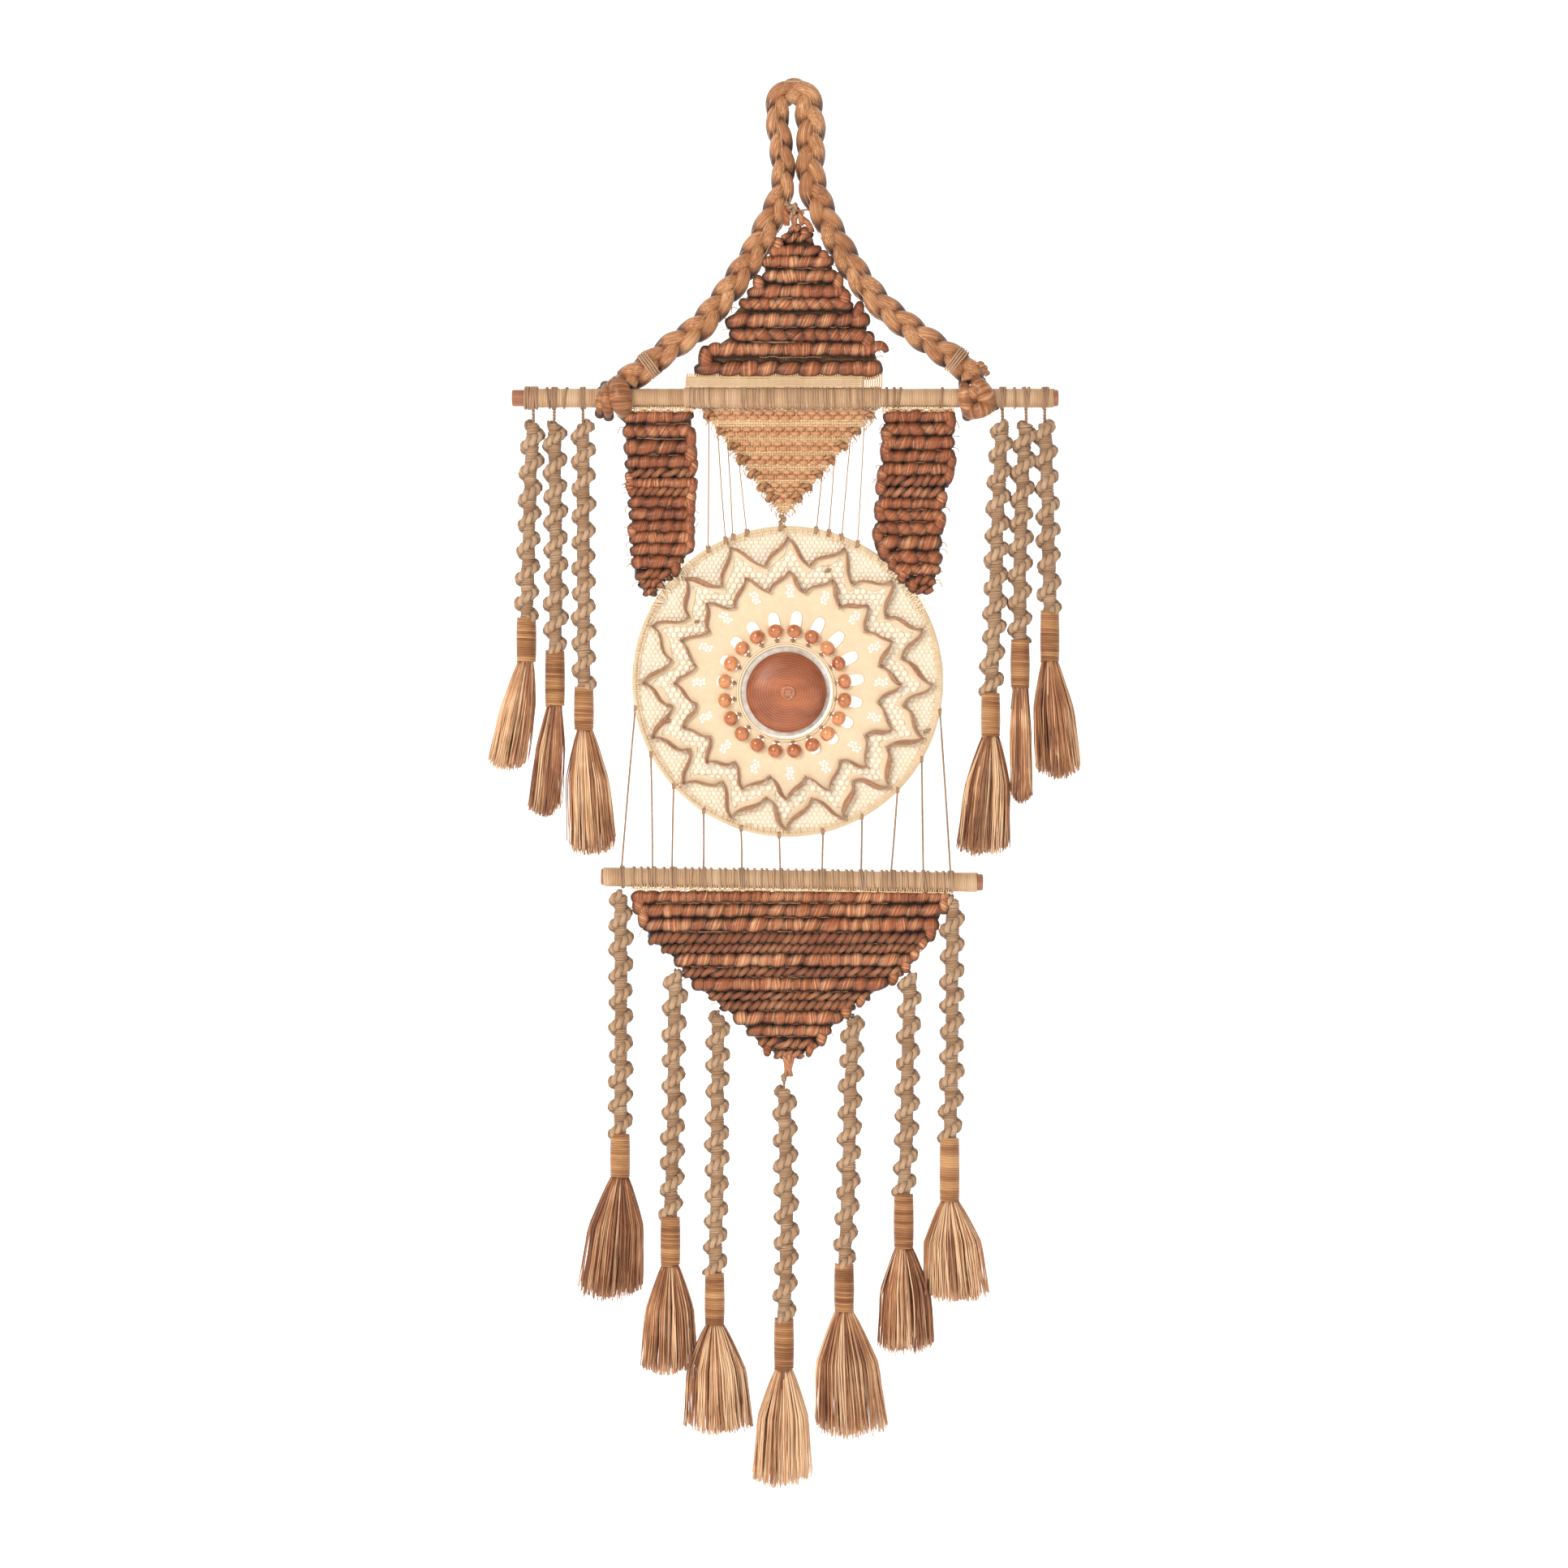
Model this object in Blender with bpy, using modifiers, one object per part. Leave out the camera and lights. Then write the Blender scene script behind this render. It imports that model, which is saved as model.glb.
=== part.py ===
"""Woven dream catcher: a braided hanger, a wrapped top rod with a coil-woven gable, a lace hoop with a wooden
boss and beads hung between two woven panels, a wrapped lower rod with a coil-woven point, and thirteen knotted
drops with tassels.  Metres, +Z up, +X to the viewer's right, the front faces -Y.  The origin is the inside top
of the hanging loop."""

import math

import bmesh
import bpy
from mathutils import Matrix, Vector

for old in list(bpy.data.objects):
    bpy.data.objects.remove(old, do_unlink=True)

MM = 0.001

# ---- driving sizes -------------------------------------------------------------------------------------------
ROD_R = 6.4 * MM  # bare dowel
TOP_ROD_X = -6.3 * MM  # its middle
ROD_Z = -229.1 * MM  # top rod's axis below the inside of the loop
WRAP_T = 1.0 * MM  # yarn wound on the dowels
TOP_BARE = (10.0 * MM, 3.2 * MM)  # dowel left showing at the left and right ends
LOWER_BARE = (2.0 * MM, 4.0 * MM)
LOWER_TILT = math.radians(0.85)  # the right end hangs lower
HOOP_R = 119.7 * MM  # outside of the hoop
HOOP_X = -4.4 * MM
SIDE_REACH = 90.6 * MM  # the top rod's ends past the hoop's sides
BAR_REACH = 27.3 * MM  # the lower rod's ends past them
HOOP_BAND = 3.2 * MM  # the rim as seen from the front
HOOP_DEPTH = 5.6 * MM
HOOP_HANG = 98.5 * MM  # top rod's axis to the hoop's top
BAR_HANG = 32.9 * MM  # hoop's bottom to the lower rod's axis
BRAID_W = 19.0 * MM
BRAID_DEPTH = 12.6 * MM
KNOT_HALF_W = 15.0 * MM  # along the rod
COIL_T = 12.0 * MM  # thickness of the coil weave
WEAVE_T = 2.4 * MM  # thickness of the plain weave
THREAD_R = 0.7 * MM
LACE_T = 1.0 * MM
BOSS_R = 31.0 * MM
BOSS_H = 13.5 * MM
BEAD_R = 5.5 * MM
BEAD_RING_R = 46.6 * MM
BEADS = 20
ZIGZAGS = 16
RIBBON_T = 0.8 * MM
RIBBON_H = 4.2 * MM
CORD_R = 6.3 * MM  # core of a twisted sinnet
BINDING_R = 7.9 * MM

# ---- clearances ----------------------------------------------------------------------------------------------
GAP = 0.3 * MM  # between pieces that lie against each other
HANG_GAP = 1.2 * MM  # under a rod, before what hangs from it
SWING_GAP = 1.2 * MM  # between pieces that swing past each other

# ---- sizes the lists below were laid out for -------------------------------------------------------------------
LAID_HOOP_R = 119.7 * MM
LAID_WRAP_R = 7.4 * MM
LAID_HOOP_TOP = -327.6 * MM

WRAP_R = ROD_R + WRAP_T  # GAP is taken out of the yarn's own thickness
KNOT_R = WRAP_R + GAP + BRAID_DEPTH * 0.75
TOP_ROD_LENGTH = 2 * (HOOP_R + SIDE_REACH)
LOWER_ROD_LENGTH = 2 * (HOOP_R + BAR_REACH)
HOOP_TOP = ROD_Z - HOOP_HANG - (WRAP_R - LAID_WRAP_R)
HOOP_Z = HOOP_TOP - HOOP_R
BAR_Z = HOOP_Z - HOOP_R - BAR_HANG - (WRAP_R - LAID_WRAP_R)
BAR_X = -1.1 * MM
SWING_Z = ROD_Z - WRAP_R - HANG_GAP  # everything under the top rod swings about this line
BOSS_X, BOSS_Z = HOOP_X - 1.0 * MM, HOOP_Z - 8.3 * MM
RING_X, RING_Z = HOOP_X - 2.2 * MM, HOOP_Z - 7.4 * MM
EYE_HALF_W = BEAD_R + GAP + 0.1 * MM
EYE_IN, EYE_OUT = BEAD_RING_R - BEAD_R - 2.2 * MM, BEAD_RING_R + BEAD_R + 6.0 * MM
LACE_HOLE_R = EYE_IN - 3.4 * MM

GROUP = bpy.data.collections.new("dream_catcher")
bpy.context.scene.collection.children.link(GROUP)
CUTTERS = bpy.data.collections.new("cutters")
bpy.context.scene.collection.children.link(CUTTERS)


# ---- laying out ------------------------------------------------------------------------------------------------
def across(x):
    """X of a place laid out for LAID_HOOP_R: stretched over the hoop, pushed outwards beside it."""
    d = x * MM - HOOP_X
    if abs(d) <= LAID_HOOP_R:
        return HOOP_X + d * HOOP_R / LAID_HOOP_R
    return HOOP_X + d + math.copysign(HOOP_R - LAID_HOOP_R, d)


def down(z):
    """Z of a place under the top rod: shifted above the hoop, stretched beside it, shifted again below it."""
    z, bottom = z * MM, LAID_HOOP_TOP - 2 * LAID_HOOP_R
    if z >= LAID_HOOP_TOP:
        return z - (WRAP_R - LAID_WRAP_R)
    if z >= bottom:
        return HOOP_TOP + (z - LAID_HOOP_TOP) * HOOP_R / LAID_HOOP_R
    return HOOP_TOP - 2 * HOOP_R + (z - bottom) - 2 * (WRAP_R - LAID_WRAP_R)


def between(pairs, at):
    """Straight-line reading of a list of (place, value) pairs, in either direction."""
    pairs = sorted(pairs)
    if at <= pairs[0][0]:
        return pairs[0][1]
    for (a, va), (b, vb) in zip(pairs, pairs[1:]):
        if at <= b:
            return va + (vb - va) * (at - a) / (b - a)
    return pairs[-1][1]


def bar_axis(x):
    """Z of the lower rod's axis at x."""
    return BAR_Z - (x - BAR_X) * math.tan(LOWER_TILT)


# ---- making ----------------------------------------------------------------------------------------------------
PALETTE = {
    "braid": ((0.46, 0.22, 0.08), 0.45, 0.0),
    "dark_coil": ((0.33, 0.12, 0.045), 0.4, 0.0),
    "dowel": ((0.38, 0.14, 0.07), 0.55, 0.0),
    "yarn": ((0.62, 0.41, 0.2), 0.8, 0.0),
    "plain": ((0.62, 0.39, 0.19), 0.8, 0.0),
    "lace": ((0.9, 0.72, 0.48), 0.8, 0.0),
    "ribbon": ((0.5, 0.24, 0.11), 0.5, 0.0),
    "bead": ((0.58, 0.19, 0.06), 0.3, 0.0),
    "boss": ((0.45, 0.13, 0.045), 0.3, 0.0),
    "clear": ((0.8, 0.76, 0.7), 0.25, 0.0),
    "jute": ((0.54, 0.33, 0.15), 0.8, 0.0),
    "fringe": ((0.52, 0.28, 0.11), 0.6, 0.0),
    "thread": ((0.54, 0.36, 0.2), 0.8, 0.0),
}


def material(name, key):
    colour, rough, metal = PALETTE[key]
    m = bpy.data.materials.new(name + "_" + key)
    m.use_nodes = True
    shader = m.node_tree.nodes["Principled BSDF"]
    shader.inputs["Base Color"].default_value = (*colour, 1.0)
    shader.inputs["Roughness"].default_value = rough
    shader.inputs["Metallic"].default_value = metal
    m.diffuse_color = (*colour, 1.0)
    return m


def add(name, bm, key, smooth=40.0, pivot=None, group=None):
    """Turns a bmesh into a named, closed object with its own material and, if given, its origin at a pivot."""
    bmesh.ops.recalc_face_normals(bm, faces=bm.faces)
    if pivot is not None:
        bmesh.ops.translate(bm, verts=bm.verts, vec=-Vector(pivot))
    for f in bm.faces:
        f.smooth = True
    for e in bm.edges:
        e.smooth = not e.is_manifold or e.calc_face_angle(0.0) < math.radians(smooth)
    mesh = bpy.data.meshes.new(name)
    bm.to_mesh(mesh)
    bm.free()
    ob = bpy.data.objects.new(name, mesh)
    if pivot is not None:
        ob.location = pivot
    (group or GROUP).objects.link(ob)
    if key:
        mesh.materials.append(material(name, key))
    return ob


def loft(stations, sides=10, stadium=False, bend=None):
    """A closed body through sections stacked downwards: (x, z, half width, half depth, y)."""
    bm = bmesh.new()
    bmesh.ops.create_circle(bm, cap_ends=True, segments=sides, radius=1.0)
    unit = [v.co.copy() for v in bm.verts]
    bm.faces.ensure_lookup_table()
    face, ring = bm.faces[0], list(bm.verts)

    def place(verts, s):
        x, z, w, d, y = s
        d = min(d, w)
        for v, u in zip(verts, unit):
            if stadium:
                v.co = (x + math.copysign(w - d, u.x) + d * u.x, y + d * u.y, z)
            else:
                v.co = (x + w * u.x, y + d * u.y, z)

    order = {v: i for i, v in enumerate(ring)}
    place(ring, stations[0])
    for s in stations[1:]:
        here = sorted(face.verts, key=lambda v: order[v])
        made, inner = bmesh.ops.extrude_face_region(bm, geom=[face])["geom"], face
        face = next(g for g in made if isinstance(g, bmesh.types.BMFace))
        twins = {}
        for v in face.verts:
            base = next(
                e.other_vert(v) for e in v.link_edges if e.other_vert(v) in here
            )
            twins[v] = order[base]
        order = twins
        if s is not stations[1]:
            bmesh.ops.delete(bm, geom=[inner], context="FACES_ONLY")
        place(sorted(face.verts, key=lambda v: order[v]), s)
    if bend:
        for v in bm.verts:
            v.co = bend(v.co)
    return bm


def tube(points, radius, sides=8, flat=1.0, closed=False, radii=None):
    """A round cord along points, flattened in Y about its own plane if asked."""
    curve = bpy.data.curves.new("path", "CURVE")
    curve.dimensions = "3D"
    curve.bevel_depth = radius
    curve.bevel_resolution = max(0, (sides - 4) // 2)
    curve.render_resolution_u = 0
    curve.resolution_u = 1
    curve.use_fill_caps = not closed
    spline = curve.splines.new("POLY")
    spline.points.add(len(points) - 1)
    for i, p in enumerate(points):
        spline.points[i].co = (*p, 1.0)
        spline.points[i].radius = radii[i] / radius if radii else 1.0
    spline.use_cyclic_u = closed
    ob = bpy.data.objects.new("path", curve)
    bpy.context.scene.collection.objects.link(ob)
    graph = bpy.context.evaluated_depsgraph_get()
    mesh = bpy.data.meshes.new_from_object(ob.evaluated_get(graph))
    bm = bmesh.new()
    bm.from_mesh(mesh)
    bmesh.ops.remove_doubles(bm, verts=bm.verts, dist=1e-6)
    if flat != 1.0:
        y = points[0][1]
        for v in bm.verts:
            v.co.y = y + (v.co.y - y) * flat
    bpy.data.objects.remove(ob, do_unlink=True)
    bpy.data.curves.remove(curve)
    bpy.data.meshes.remove(mesh)
    return bm


def turned(profile, steps, place, closed=False):
    """A body turned about an axis from (along, radius) pairs; place carries local Z to the axis."""
    bm = bmesh.new()
    verts = [bm.verts.new((r, 0.0, a)) for a, r in profile]
    edges = [bm.edges.new(p) for p in zip(verts, verts[1:])]
    if closed:
        edges.append(bm.edges.new((verts[-1], verts[0])))
    bmesh.ops.spin(
        bm,
        geom=verts + edges,
        cent=(0, 0, 0),
        axis=(0, 0, 1),
        angle=math.tau,
        steps=steps,
        use_merge=True,
    )
    bmesh.ops.remove_doubles(bm, verts=bm.verts, dist=1e-6)
    bmesh.ops.transform(bm, verts=bm.verts, matrix=place)
    return bm


def combine(name, bodies, operation, smooth=40.0, key=None):
    """Joins or cuts a list of bmeshes with exact Booleans and returns the finished object."""
    base = add(name, bodies[0], key)
    shelf = bpy.data.collections.new(name + "_cuts")
    CUTTERS.children.link(shelf)
    helpers = []
    for i, body in enumerate(bodies[1:]):
        helper = add(f"{name}_cut_{i}", body, None, group=shelf)
        helper.hide_render = True
        helper.display_type = "WIRE"
        helpers.append(helper)
    mod = base.modifiers.new("boolean", "BOOLEAN")
    mod.operand_type, mod.collection = "COLLECTION", shelf
    mod.operation, mod.solver = operation, "EXACT"
    graph = bpy.context.evaluated_depsgraph_get()
    mesh = bpy.data.meshes.new_from_object(base.evaluated_get(graph))
    base.modifiers.clear()
    bm = bmesh.new()
    bm.from_mesh(mesh)
    bmesh.ops.remove_doubles(bm, verts=bm.verts, dist=2e-7)
    bmesh.ops.dissolve_degenerate(bm, edges=bm.edges, dist=1e-7)
    bmesh.ops.recalc_face_normals(bm, faces=bm.faces)
    for f in bm.faces:
        f.smooth = True
    for e in bm.edges:
        e.smooth = not e.is_manifold or e.calc_face_angle(0.0) < math.radians(smooth)
    bm.to_mesh(base.data)
    bm.free()
    bpy.data.meshes.remove(mesh)
    for helper in helpers:
        bpy.data.objects.remove(helper, do_unlink=True)
    return base


ALONG_X = Matrix.Rotation(math.radians(90.0), 4, "Y")
TO_FRONT = Matrix.Rotation(math.radians(90.0), 4, "X")  # local +Z goes to -Y


def facing(x, z, y=0.0):
    return Matrix.Translation((x, y, z)) @ TO_FRONT


# ---- rods ------------------------------------------------------------------------------------------------------
def rod(name, x, z, length, tilt, bare, prefix):
    """A dowel with softened ends and the yarn wound on it."""
    place = Matrix.Translation((x, 0, z)) @ Matrix.Rotation(tilt, 4, "Y") @ ALONG_X
    h, c = length / 2, 0.8 * MM
    dowel = [(-h, 0), (-h, ROD_R - c), (-h + c, ROD_R), (h - c, ROD_R), (h, ROD_R - c), (h, 0)]
    add(name, turned(dowel, 24, place), "dowel")
    inside, a, b = ROD_R + GAP, -h + bare[0], h - bare[1]
    c = 0.4 * MM
    sleeve = [(a, inside), (a, WRAP_R - c), (a + c, WRAP_R), (b - c, WRAP_R), (b, WRAP_R - c), (b, inside)]
    add(prefix + "_wrap", turned(sleeve, 24, place, closed=True), "yarn")


rod("top_rod", TOP_ROD_X, ROD_Z, TOP_ROD_LENGTH, 0.0, TOP_BARE, "top_rod")
rod("lower_rod", BAR_X, BAR_Z, LOWER_ROD_LENGTH, LOWER_TILT, LOWER_BARE, "lower_rod")

# ---- braided hanger and its two knots --------------------------------------------------------------------------
LEFT_KNOT_X, RIGHT_KNOT_X = across(-137.4), across(141.6)
LEG = [
    (-12.8, 12.5, -10.0),
    (-11.4, 13.8, -27.5),
    (-9.4, 14.0, -45.6),
    (-8.4, 14.6, -64.0),
    (-13.2, 19.7, -79.4),
    (-20.9, 29.1, -99.4),
    (-31.6, 39.7, -119.4),
    (-44.7, 52.8, -139.4),
    (-59.7, 69.7, -159.4),
    (-72.8, 89.7, -175.0),
    (-93.4, 109.7, -189.4),
]
LOOP_TOP = BRAID_W / 2  # centreline of the braid over the hook
knot_top = KNOT_R + GAP + 0.8 * MM


def leg_end(knot_x, x, z):
    """Where a leg stops, just clear of its knot, on the line from (x, z) to the knot."""
    to = Vector((x - knot_x, 0, z - ROD_Z)).normalized()
    return Vector((knot_x, 0, ROD_Z)) + to * knot_top


left = [Vector((across(a) if z < -60 else a * MM, 0, z * MM)) for a, _, z in LEG]
right = [Vector((across(b) if z < -60 else b * MM, 0, z * MM)) for _, b, z in LEG]
left.append(Vector((across(-113.4), 0, -205.0 * MM)))
right.append(Vector((across(130.6), 0, -204.0 * MM)))
left.append(leg_end(LEFT_KNOT_X, left[-1].x, left[-1].z))
right.append(leg_end(RIGHT_KNOT_X, right[-1].x, right[-1].z))
over = [Vector((-9.6 * MM, 0, 3.4 * MM)), Vector((0, 0, LOOP_TOP)), Vector((9.4 * MM, 0, 3.6 * MM))]
path = left[::-1] + over + right
radii = [BRAID_W / 2] * len(path)
radii[0] = radii[-1] = BRAID_W * 0.3
radii[1] = radii[-2] = BRAID_W * 0.46
add("hanging_braid", tube(path, BRAID_W / 2, 10, BRAID_DEPTH / BRAID_W, radii=radii), "braid", 60.0)

for side, x in (("left", LEFT_KNOT_X), ("right", RIGHT_KNOT_X)):
    bore, steps = WRAP_R + GAP, 9
    arc = []
    for i in range(steps + 1):
        t = math.pi * i / steps
        arc.append((-KNOT_HALF_W * math.cos(t), bore + 0.6 * MM + (KNOT_R - bore - 0.6 * MM) * math.sin(t)))
    ring = [(-KNOT_HALF_W, bore)] + arc + [(KNOT_HALF_W, bore)]
    place = Matrix.Translation((x, 0, ROD_Z)) @ ALONG_X
    add(f"{side}_knot", turned(ring, 16, place, closed=True), "braid", 50.0)


# ---- coil weaving ----------------------------------------------------------------------------------------------
def coil_rows(top, bottom, rows, left_edge, right_edge, y=0.0, lean=None):
    """Corrugated panel: each row of coil bulges, each valley between rows draws in."""
    stations, pitch = [], (top - bottom) / rows
    for i in range(rows):
        for part, pull, deep in ((0.0, 1.2 * MM, 0.62), (0.3, 0.0, 1.0), (0.7, 0.0, 1.0)):
            z = top - pitch * (i + part)
            a, b = left_edge(z) + pull, right_edge(z) - pull
            stations.append(((a + b) / 2, z, max((b - a) / 2, 1.5 * MM), COIL_T / 2 * deep, y))
    a, b = left_edge(bottom) + 1.2 * MM, right_edge(bottom) - 1.2 * MM
    stations.append(((a + b) / 2, bottom, max((b - a) / 2, 1.5 * MM), COIL_T * 0.31, y))
    return loft(stations, 8, stadium=True, bend=lean)


def inner_edge(leg, sign):
    """(z, x) pairs of the side of a braid leg that faces the weaving."""
    pairs = []
    for a, b in zip(leg, leg[1:]):
        t = (b - a).normalized()
        n = Vector((-t.z, 0, t.x)) * sign
        for p in (a, a.lerp(b, 0.5), b):
            q = p + n * BRAID_W / 2
            pairs.append((q.z, q.x))
    return pairs


def leg_limit(leg, sign, z):
    near = [x for zz, x in inner_edge(leg, sign) if abs(zz - z) < 8 * MM]
    near.append(between(inner_edge(leg, sign), z))
    return max(near) if sign > 0 else min(near)


GABLE_LEFT = [(-88, -14.0), (-106, -11.5), (-116, -19), (-124.5, -25), (-136, -27), (-147.5, -37), (-157.5, -43),
              (-170, -54), (-181, -52), (-192, -68), (-208, -80), (-219, -81)]
GABLE_RIGHT = [(-88, 6.5), (-106, 17), (-116, 22), (-124.5, 31), (-136, 36), (-147.5, 42), (-157.5, 48),
               (-170, 61), (-181, 60), (-192, 70), (-208, 71.5), (-219, 66)]


def gable_left(z):
    x = across(between([(a, b) for a, b in GABLE_LEFT], z / MM))
    return x if z < -195 * MM else max(x, leg_limit(left[4:-2], 1, z) + SWING_GAP)


def gable_right(z):
    x = across(between([(a, b) for a, b in GABLE_RIGHT], z / MM))
    return x if z < -195 * MM else min(x, leg_limit(right[4:-2], -1, z) - SWING_GAP)


gable_bottom = ROD_Z + WRAP_R + HANG_GAP
add("upper_weave", coil_rows(-96 * MM, gable_bottom, 11, gable_left, gable_right), "dark_coil", 60.0)


def hoop_side(z, sign):
    """X just outside the hoop at height z, or None above and below it."""
    reach, dz = HOOP_R + GAP + 0.3 * MM, z - HOOP_Z
    if abs(dz) >= reach:
        return None
    return HOOP_X + sign * math.sqrt(reach * reach - dz * dz)


PANEL_L_OUT = [(-240, -132.5), (-269, -131), (-291, -129), (-314, -127.5), (-348, -126), (-368, -123), (-383, -114)]
PANEL_L_IN = [(-240, -76.5), (-291, -74.5), (-314, -76), (-346, -76), (-384, -100)]
PANEL_R_IN = [(-240, 68.5), (-262, 67), (-283, 65), (-306, 62.5), (-337, 60), (-346, 64), (-384, 100)]
PANEL_R_OUT = [(-240, 124.5), (-283, 125), (-302, 118.5), (-331, 117), (-356, 115), (-373, 111), (-385, 106)]
panel_top = ROD_Z - WRAP_R - HANG_GAP - 1.6 * MM


def panel(name, inside, outside, sign, knot_x):
    """A coil-woven panel beside the hoop: kept off the hoop on the inside and off the knot at its outer corner."""
    knot_side = knot_x - sign * (KNOT_HALF_W + SWING_GAP)

    def inner(z):
        x, rim = across(between(inside, nominal(z))), hoop_side(z, sign)
        return x if rim is None else sign * max(sign * x, sign * rim)

    def outer(z):
        x = across(between(outside, nominal(z)))
        if z > panel_top - 12 * MM:
            x = sign * min(sign * x, sign * knot_side)
        rim = hoop_side(z, sign)
        floor = (x if rim is None else sign * max(sign * x, sign * rim + 3.0 * MM))
        return floor

    low = down(-384)
    args = (outer, inner) if sign < 0 else (inner, outer)
    add(name, coil_rows(panel_top, low, 14, *args), "dark_coil", 60.0)


def nominal(z):
    """The laid-out millimetres of a height z beside the panels, the inverse of down()."""
    if z >= HOOP_TOP:
        return (z + (WRAP_R - LAID_WRAP_R)) / MM
    return (LAID_HOOP_TOP + (z - HOOP_TOP) * LAID_HOOP_R / HOOP_R) / MM


panel("left_panel", PANEL_L_IN, PANEL_L_OUT, -1, LEFT_KNOT_X)
panel("right_panel", PANEL_R_IN, PANEL_R_OUT, 1, RIGHT_KNOT_X)

# ---- lower point -----------------------------------------------------------------------------------------------
POINT_LEFT = [(-610, -124.5), (-645, -113.4), (-659.4, -94.7), (-678.1, -82.2), (-692.5, -63.4), (-711.3, -40.9),
              (-730, -25.9), (-738.1, -12)]
POINT_RIGHT = [(-610, 113.6), (-632.5, 113.6), (-671.9, 84.5), (-685.6, 66.5), (-696.9, 48.4), (-709.4, 35.9),
               (-725.6, 20), (-738.1, 0)]
point_top, point_low = BAR_Z - WRAP_R - HANG_GAP, down(-740)


def bar_nominal(z):
    """The laid-out millimetres of a height z below the lower rod."""
    return -740 + (z - point_low) / MM


def lean(co):
    """Follows the rod's tilt at the top and levels out towards the point."""
    f = max(0.0, min(1.0, (co.z - point_low) / (point_top - point_low)))
    return Vector((co.x, co.y, co.z - (co.x - BAR_X) * math.tan(LOWER_TILT) * f))


def point_left(z):
    return across(between(POINT_LEFT, bar_nominal(z)))


def point_right(z):
    return across(between(POINT_RIGHT, bar_nominal(z)))


add("lower_weave", coil_rows(point_top, point_low, 13, point_left, point_right, lean=lean), "dark_coil", 60.0)

# ---- hoop, lace and ribbons ------------------------------------------------------------------------------------
half_band, half_depth = HOOP_BAND / 2, HOOP_DEPTH / 2
section = []
for i in range(6):
    t = math.tau * i / 6
    section.append((half_depth * math.sin(t), HOOP_R - half_band + half_band * math.cos(t)))
add("hoop_ring", turned(section, 48, facing(HOOP_X, HOOP_Z), closed=True), "yarn", 60.0)

lace_r = HOOP_R - HOOP_BAND - GAP
disc = [(-LACE_T / 2, 0), (-LACE_T / 2, lace_r), (LACE_T / 2, lace_r), (LACE_T / 2, 0)]
lace = turned(disc, 48, facing(HOOP_X, HOOP_Z))
cuts = []
hole = [(-2 * MM, 0), (-2 * MM, LACE_HOLE_R), (2 * MM, LACE_HOLE_R), (2 * MM, 0)]
cuts.append(turned(hole, 32, facing(RING_X, RING_Z)))


def bead_turn(i):
    return math.tau * (i + 0.5) / BEADS


for i in range(BEADS):
    t = bead_turn(i)
    eye = bmesh.new()
    bmesh.ops.create_circle(eye, cap_ends=True, segments=8, radius=1.0)
    mid = BEAD_RING_R
    for v in eye.verts:
        along, side = v.co.x, v.co.y
        stretch = (EYE_OUT - mid) if along > 0 else (mid - EYE_IN)
        v.co = (mid + along * stretch, side * EYE_HALF_W, -2 * MM)
    made = bmesh.ops.extrude_face_region(eye, geom=list(eye.faces))["geom"]
    top = [g for g in made if isinstance(g, bmesh.types.BMVert)]
    bmesh.ops.translate(eye, verts=top, vec=(0, 0, 4 * MM))
    turn = facing(RING_X, RING_Z) @ Matrix.Rotation(t, 4, "Z")
    bmesh.ops.transform(eye, verts=eye.verts, matrix=turn)
    cuts.append(eye)
combine("lace_disc", [lace] + cuts, "DIFFERENCE", key="lace")


def zigzag(name, x, z, tip_r, valley_r):
    """A ribbon stood on edge and run in and out round the hoop: a wall with S-curved legs, thickened."""
    bm, steps = bmesh.new(), 4
    verts = []
    for i in range(ZIGZAGS * 2):
        for k in range(steps):
            s = k / steps
            a, b = (tip_r, valley_r) if i % 2 == 0 else (valley_r, tip_r)
            ease = s + 0.09 * math.sin(math.tau * s)
            r = a + (b - a) * ease
            t = math.tau * (i + s) / (ZIGZAGS * 2) + math.pi / 2
            verts.append(bm.verts.new((r * math.cos(t), r * math.sin(t), 0.0)))
    edges = [bm.edges.new((verts[j - 1], verts[j])) for j in range(len(verts))]
    up = bmesh.ops.extrude_edge_only(bm, edges=edges)["geom"]
    lifted = [g for g in up if isinstance(g, bmesh.types.BMVert)]
    bmesh.ops.translate(bm, verts=lifted, vec=(0, 0, RIBBON_H))
    place = facing(x, z, -(LACE_T / 2 + GAP))
    bmesh.ops.transform(bm, verts=bm.verts, matrix=place)
    bmesh.ops.recalc_face_normals(bm, faces=bm.faces)
    mesh = bpy.data.meshes.new(name)
    bm.to_mesh(mesh)
    bm.free()
    ob = bpy.data.objects.new(name, mesh)
    GROUP.objects.link(ob)
    mod = ob.modifiers.new("thickness", "SOLIDIFY")
    mod.thickness, mod.offset, mod.use_even_offset = RIBBON_T, 0.0, True
    mesh.materials.append(material(name, "ribbon"))
    return ob


lace_k = HOOP_R / LAID_HOOP_R
zigzag("outer_zigzag", HOOP_X - 0.3 * MM, HOOP_Z - 1.1 * MM, HOOP_R - 6.0 * MM, 91.4 * MM * lace_k)
zigzag("inner_zigzag", HOOP_X - 0.3 * MM, HOOP_Z - 2.4 * MM, 89.0 * MM * lace_k, 73.0 * MM * lace_k)

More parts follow.
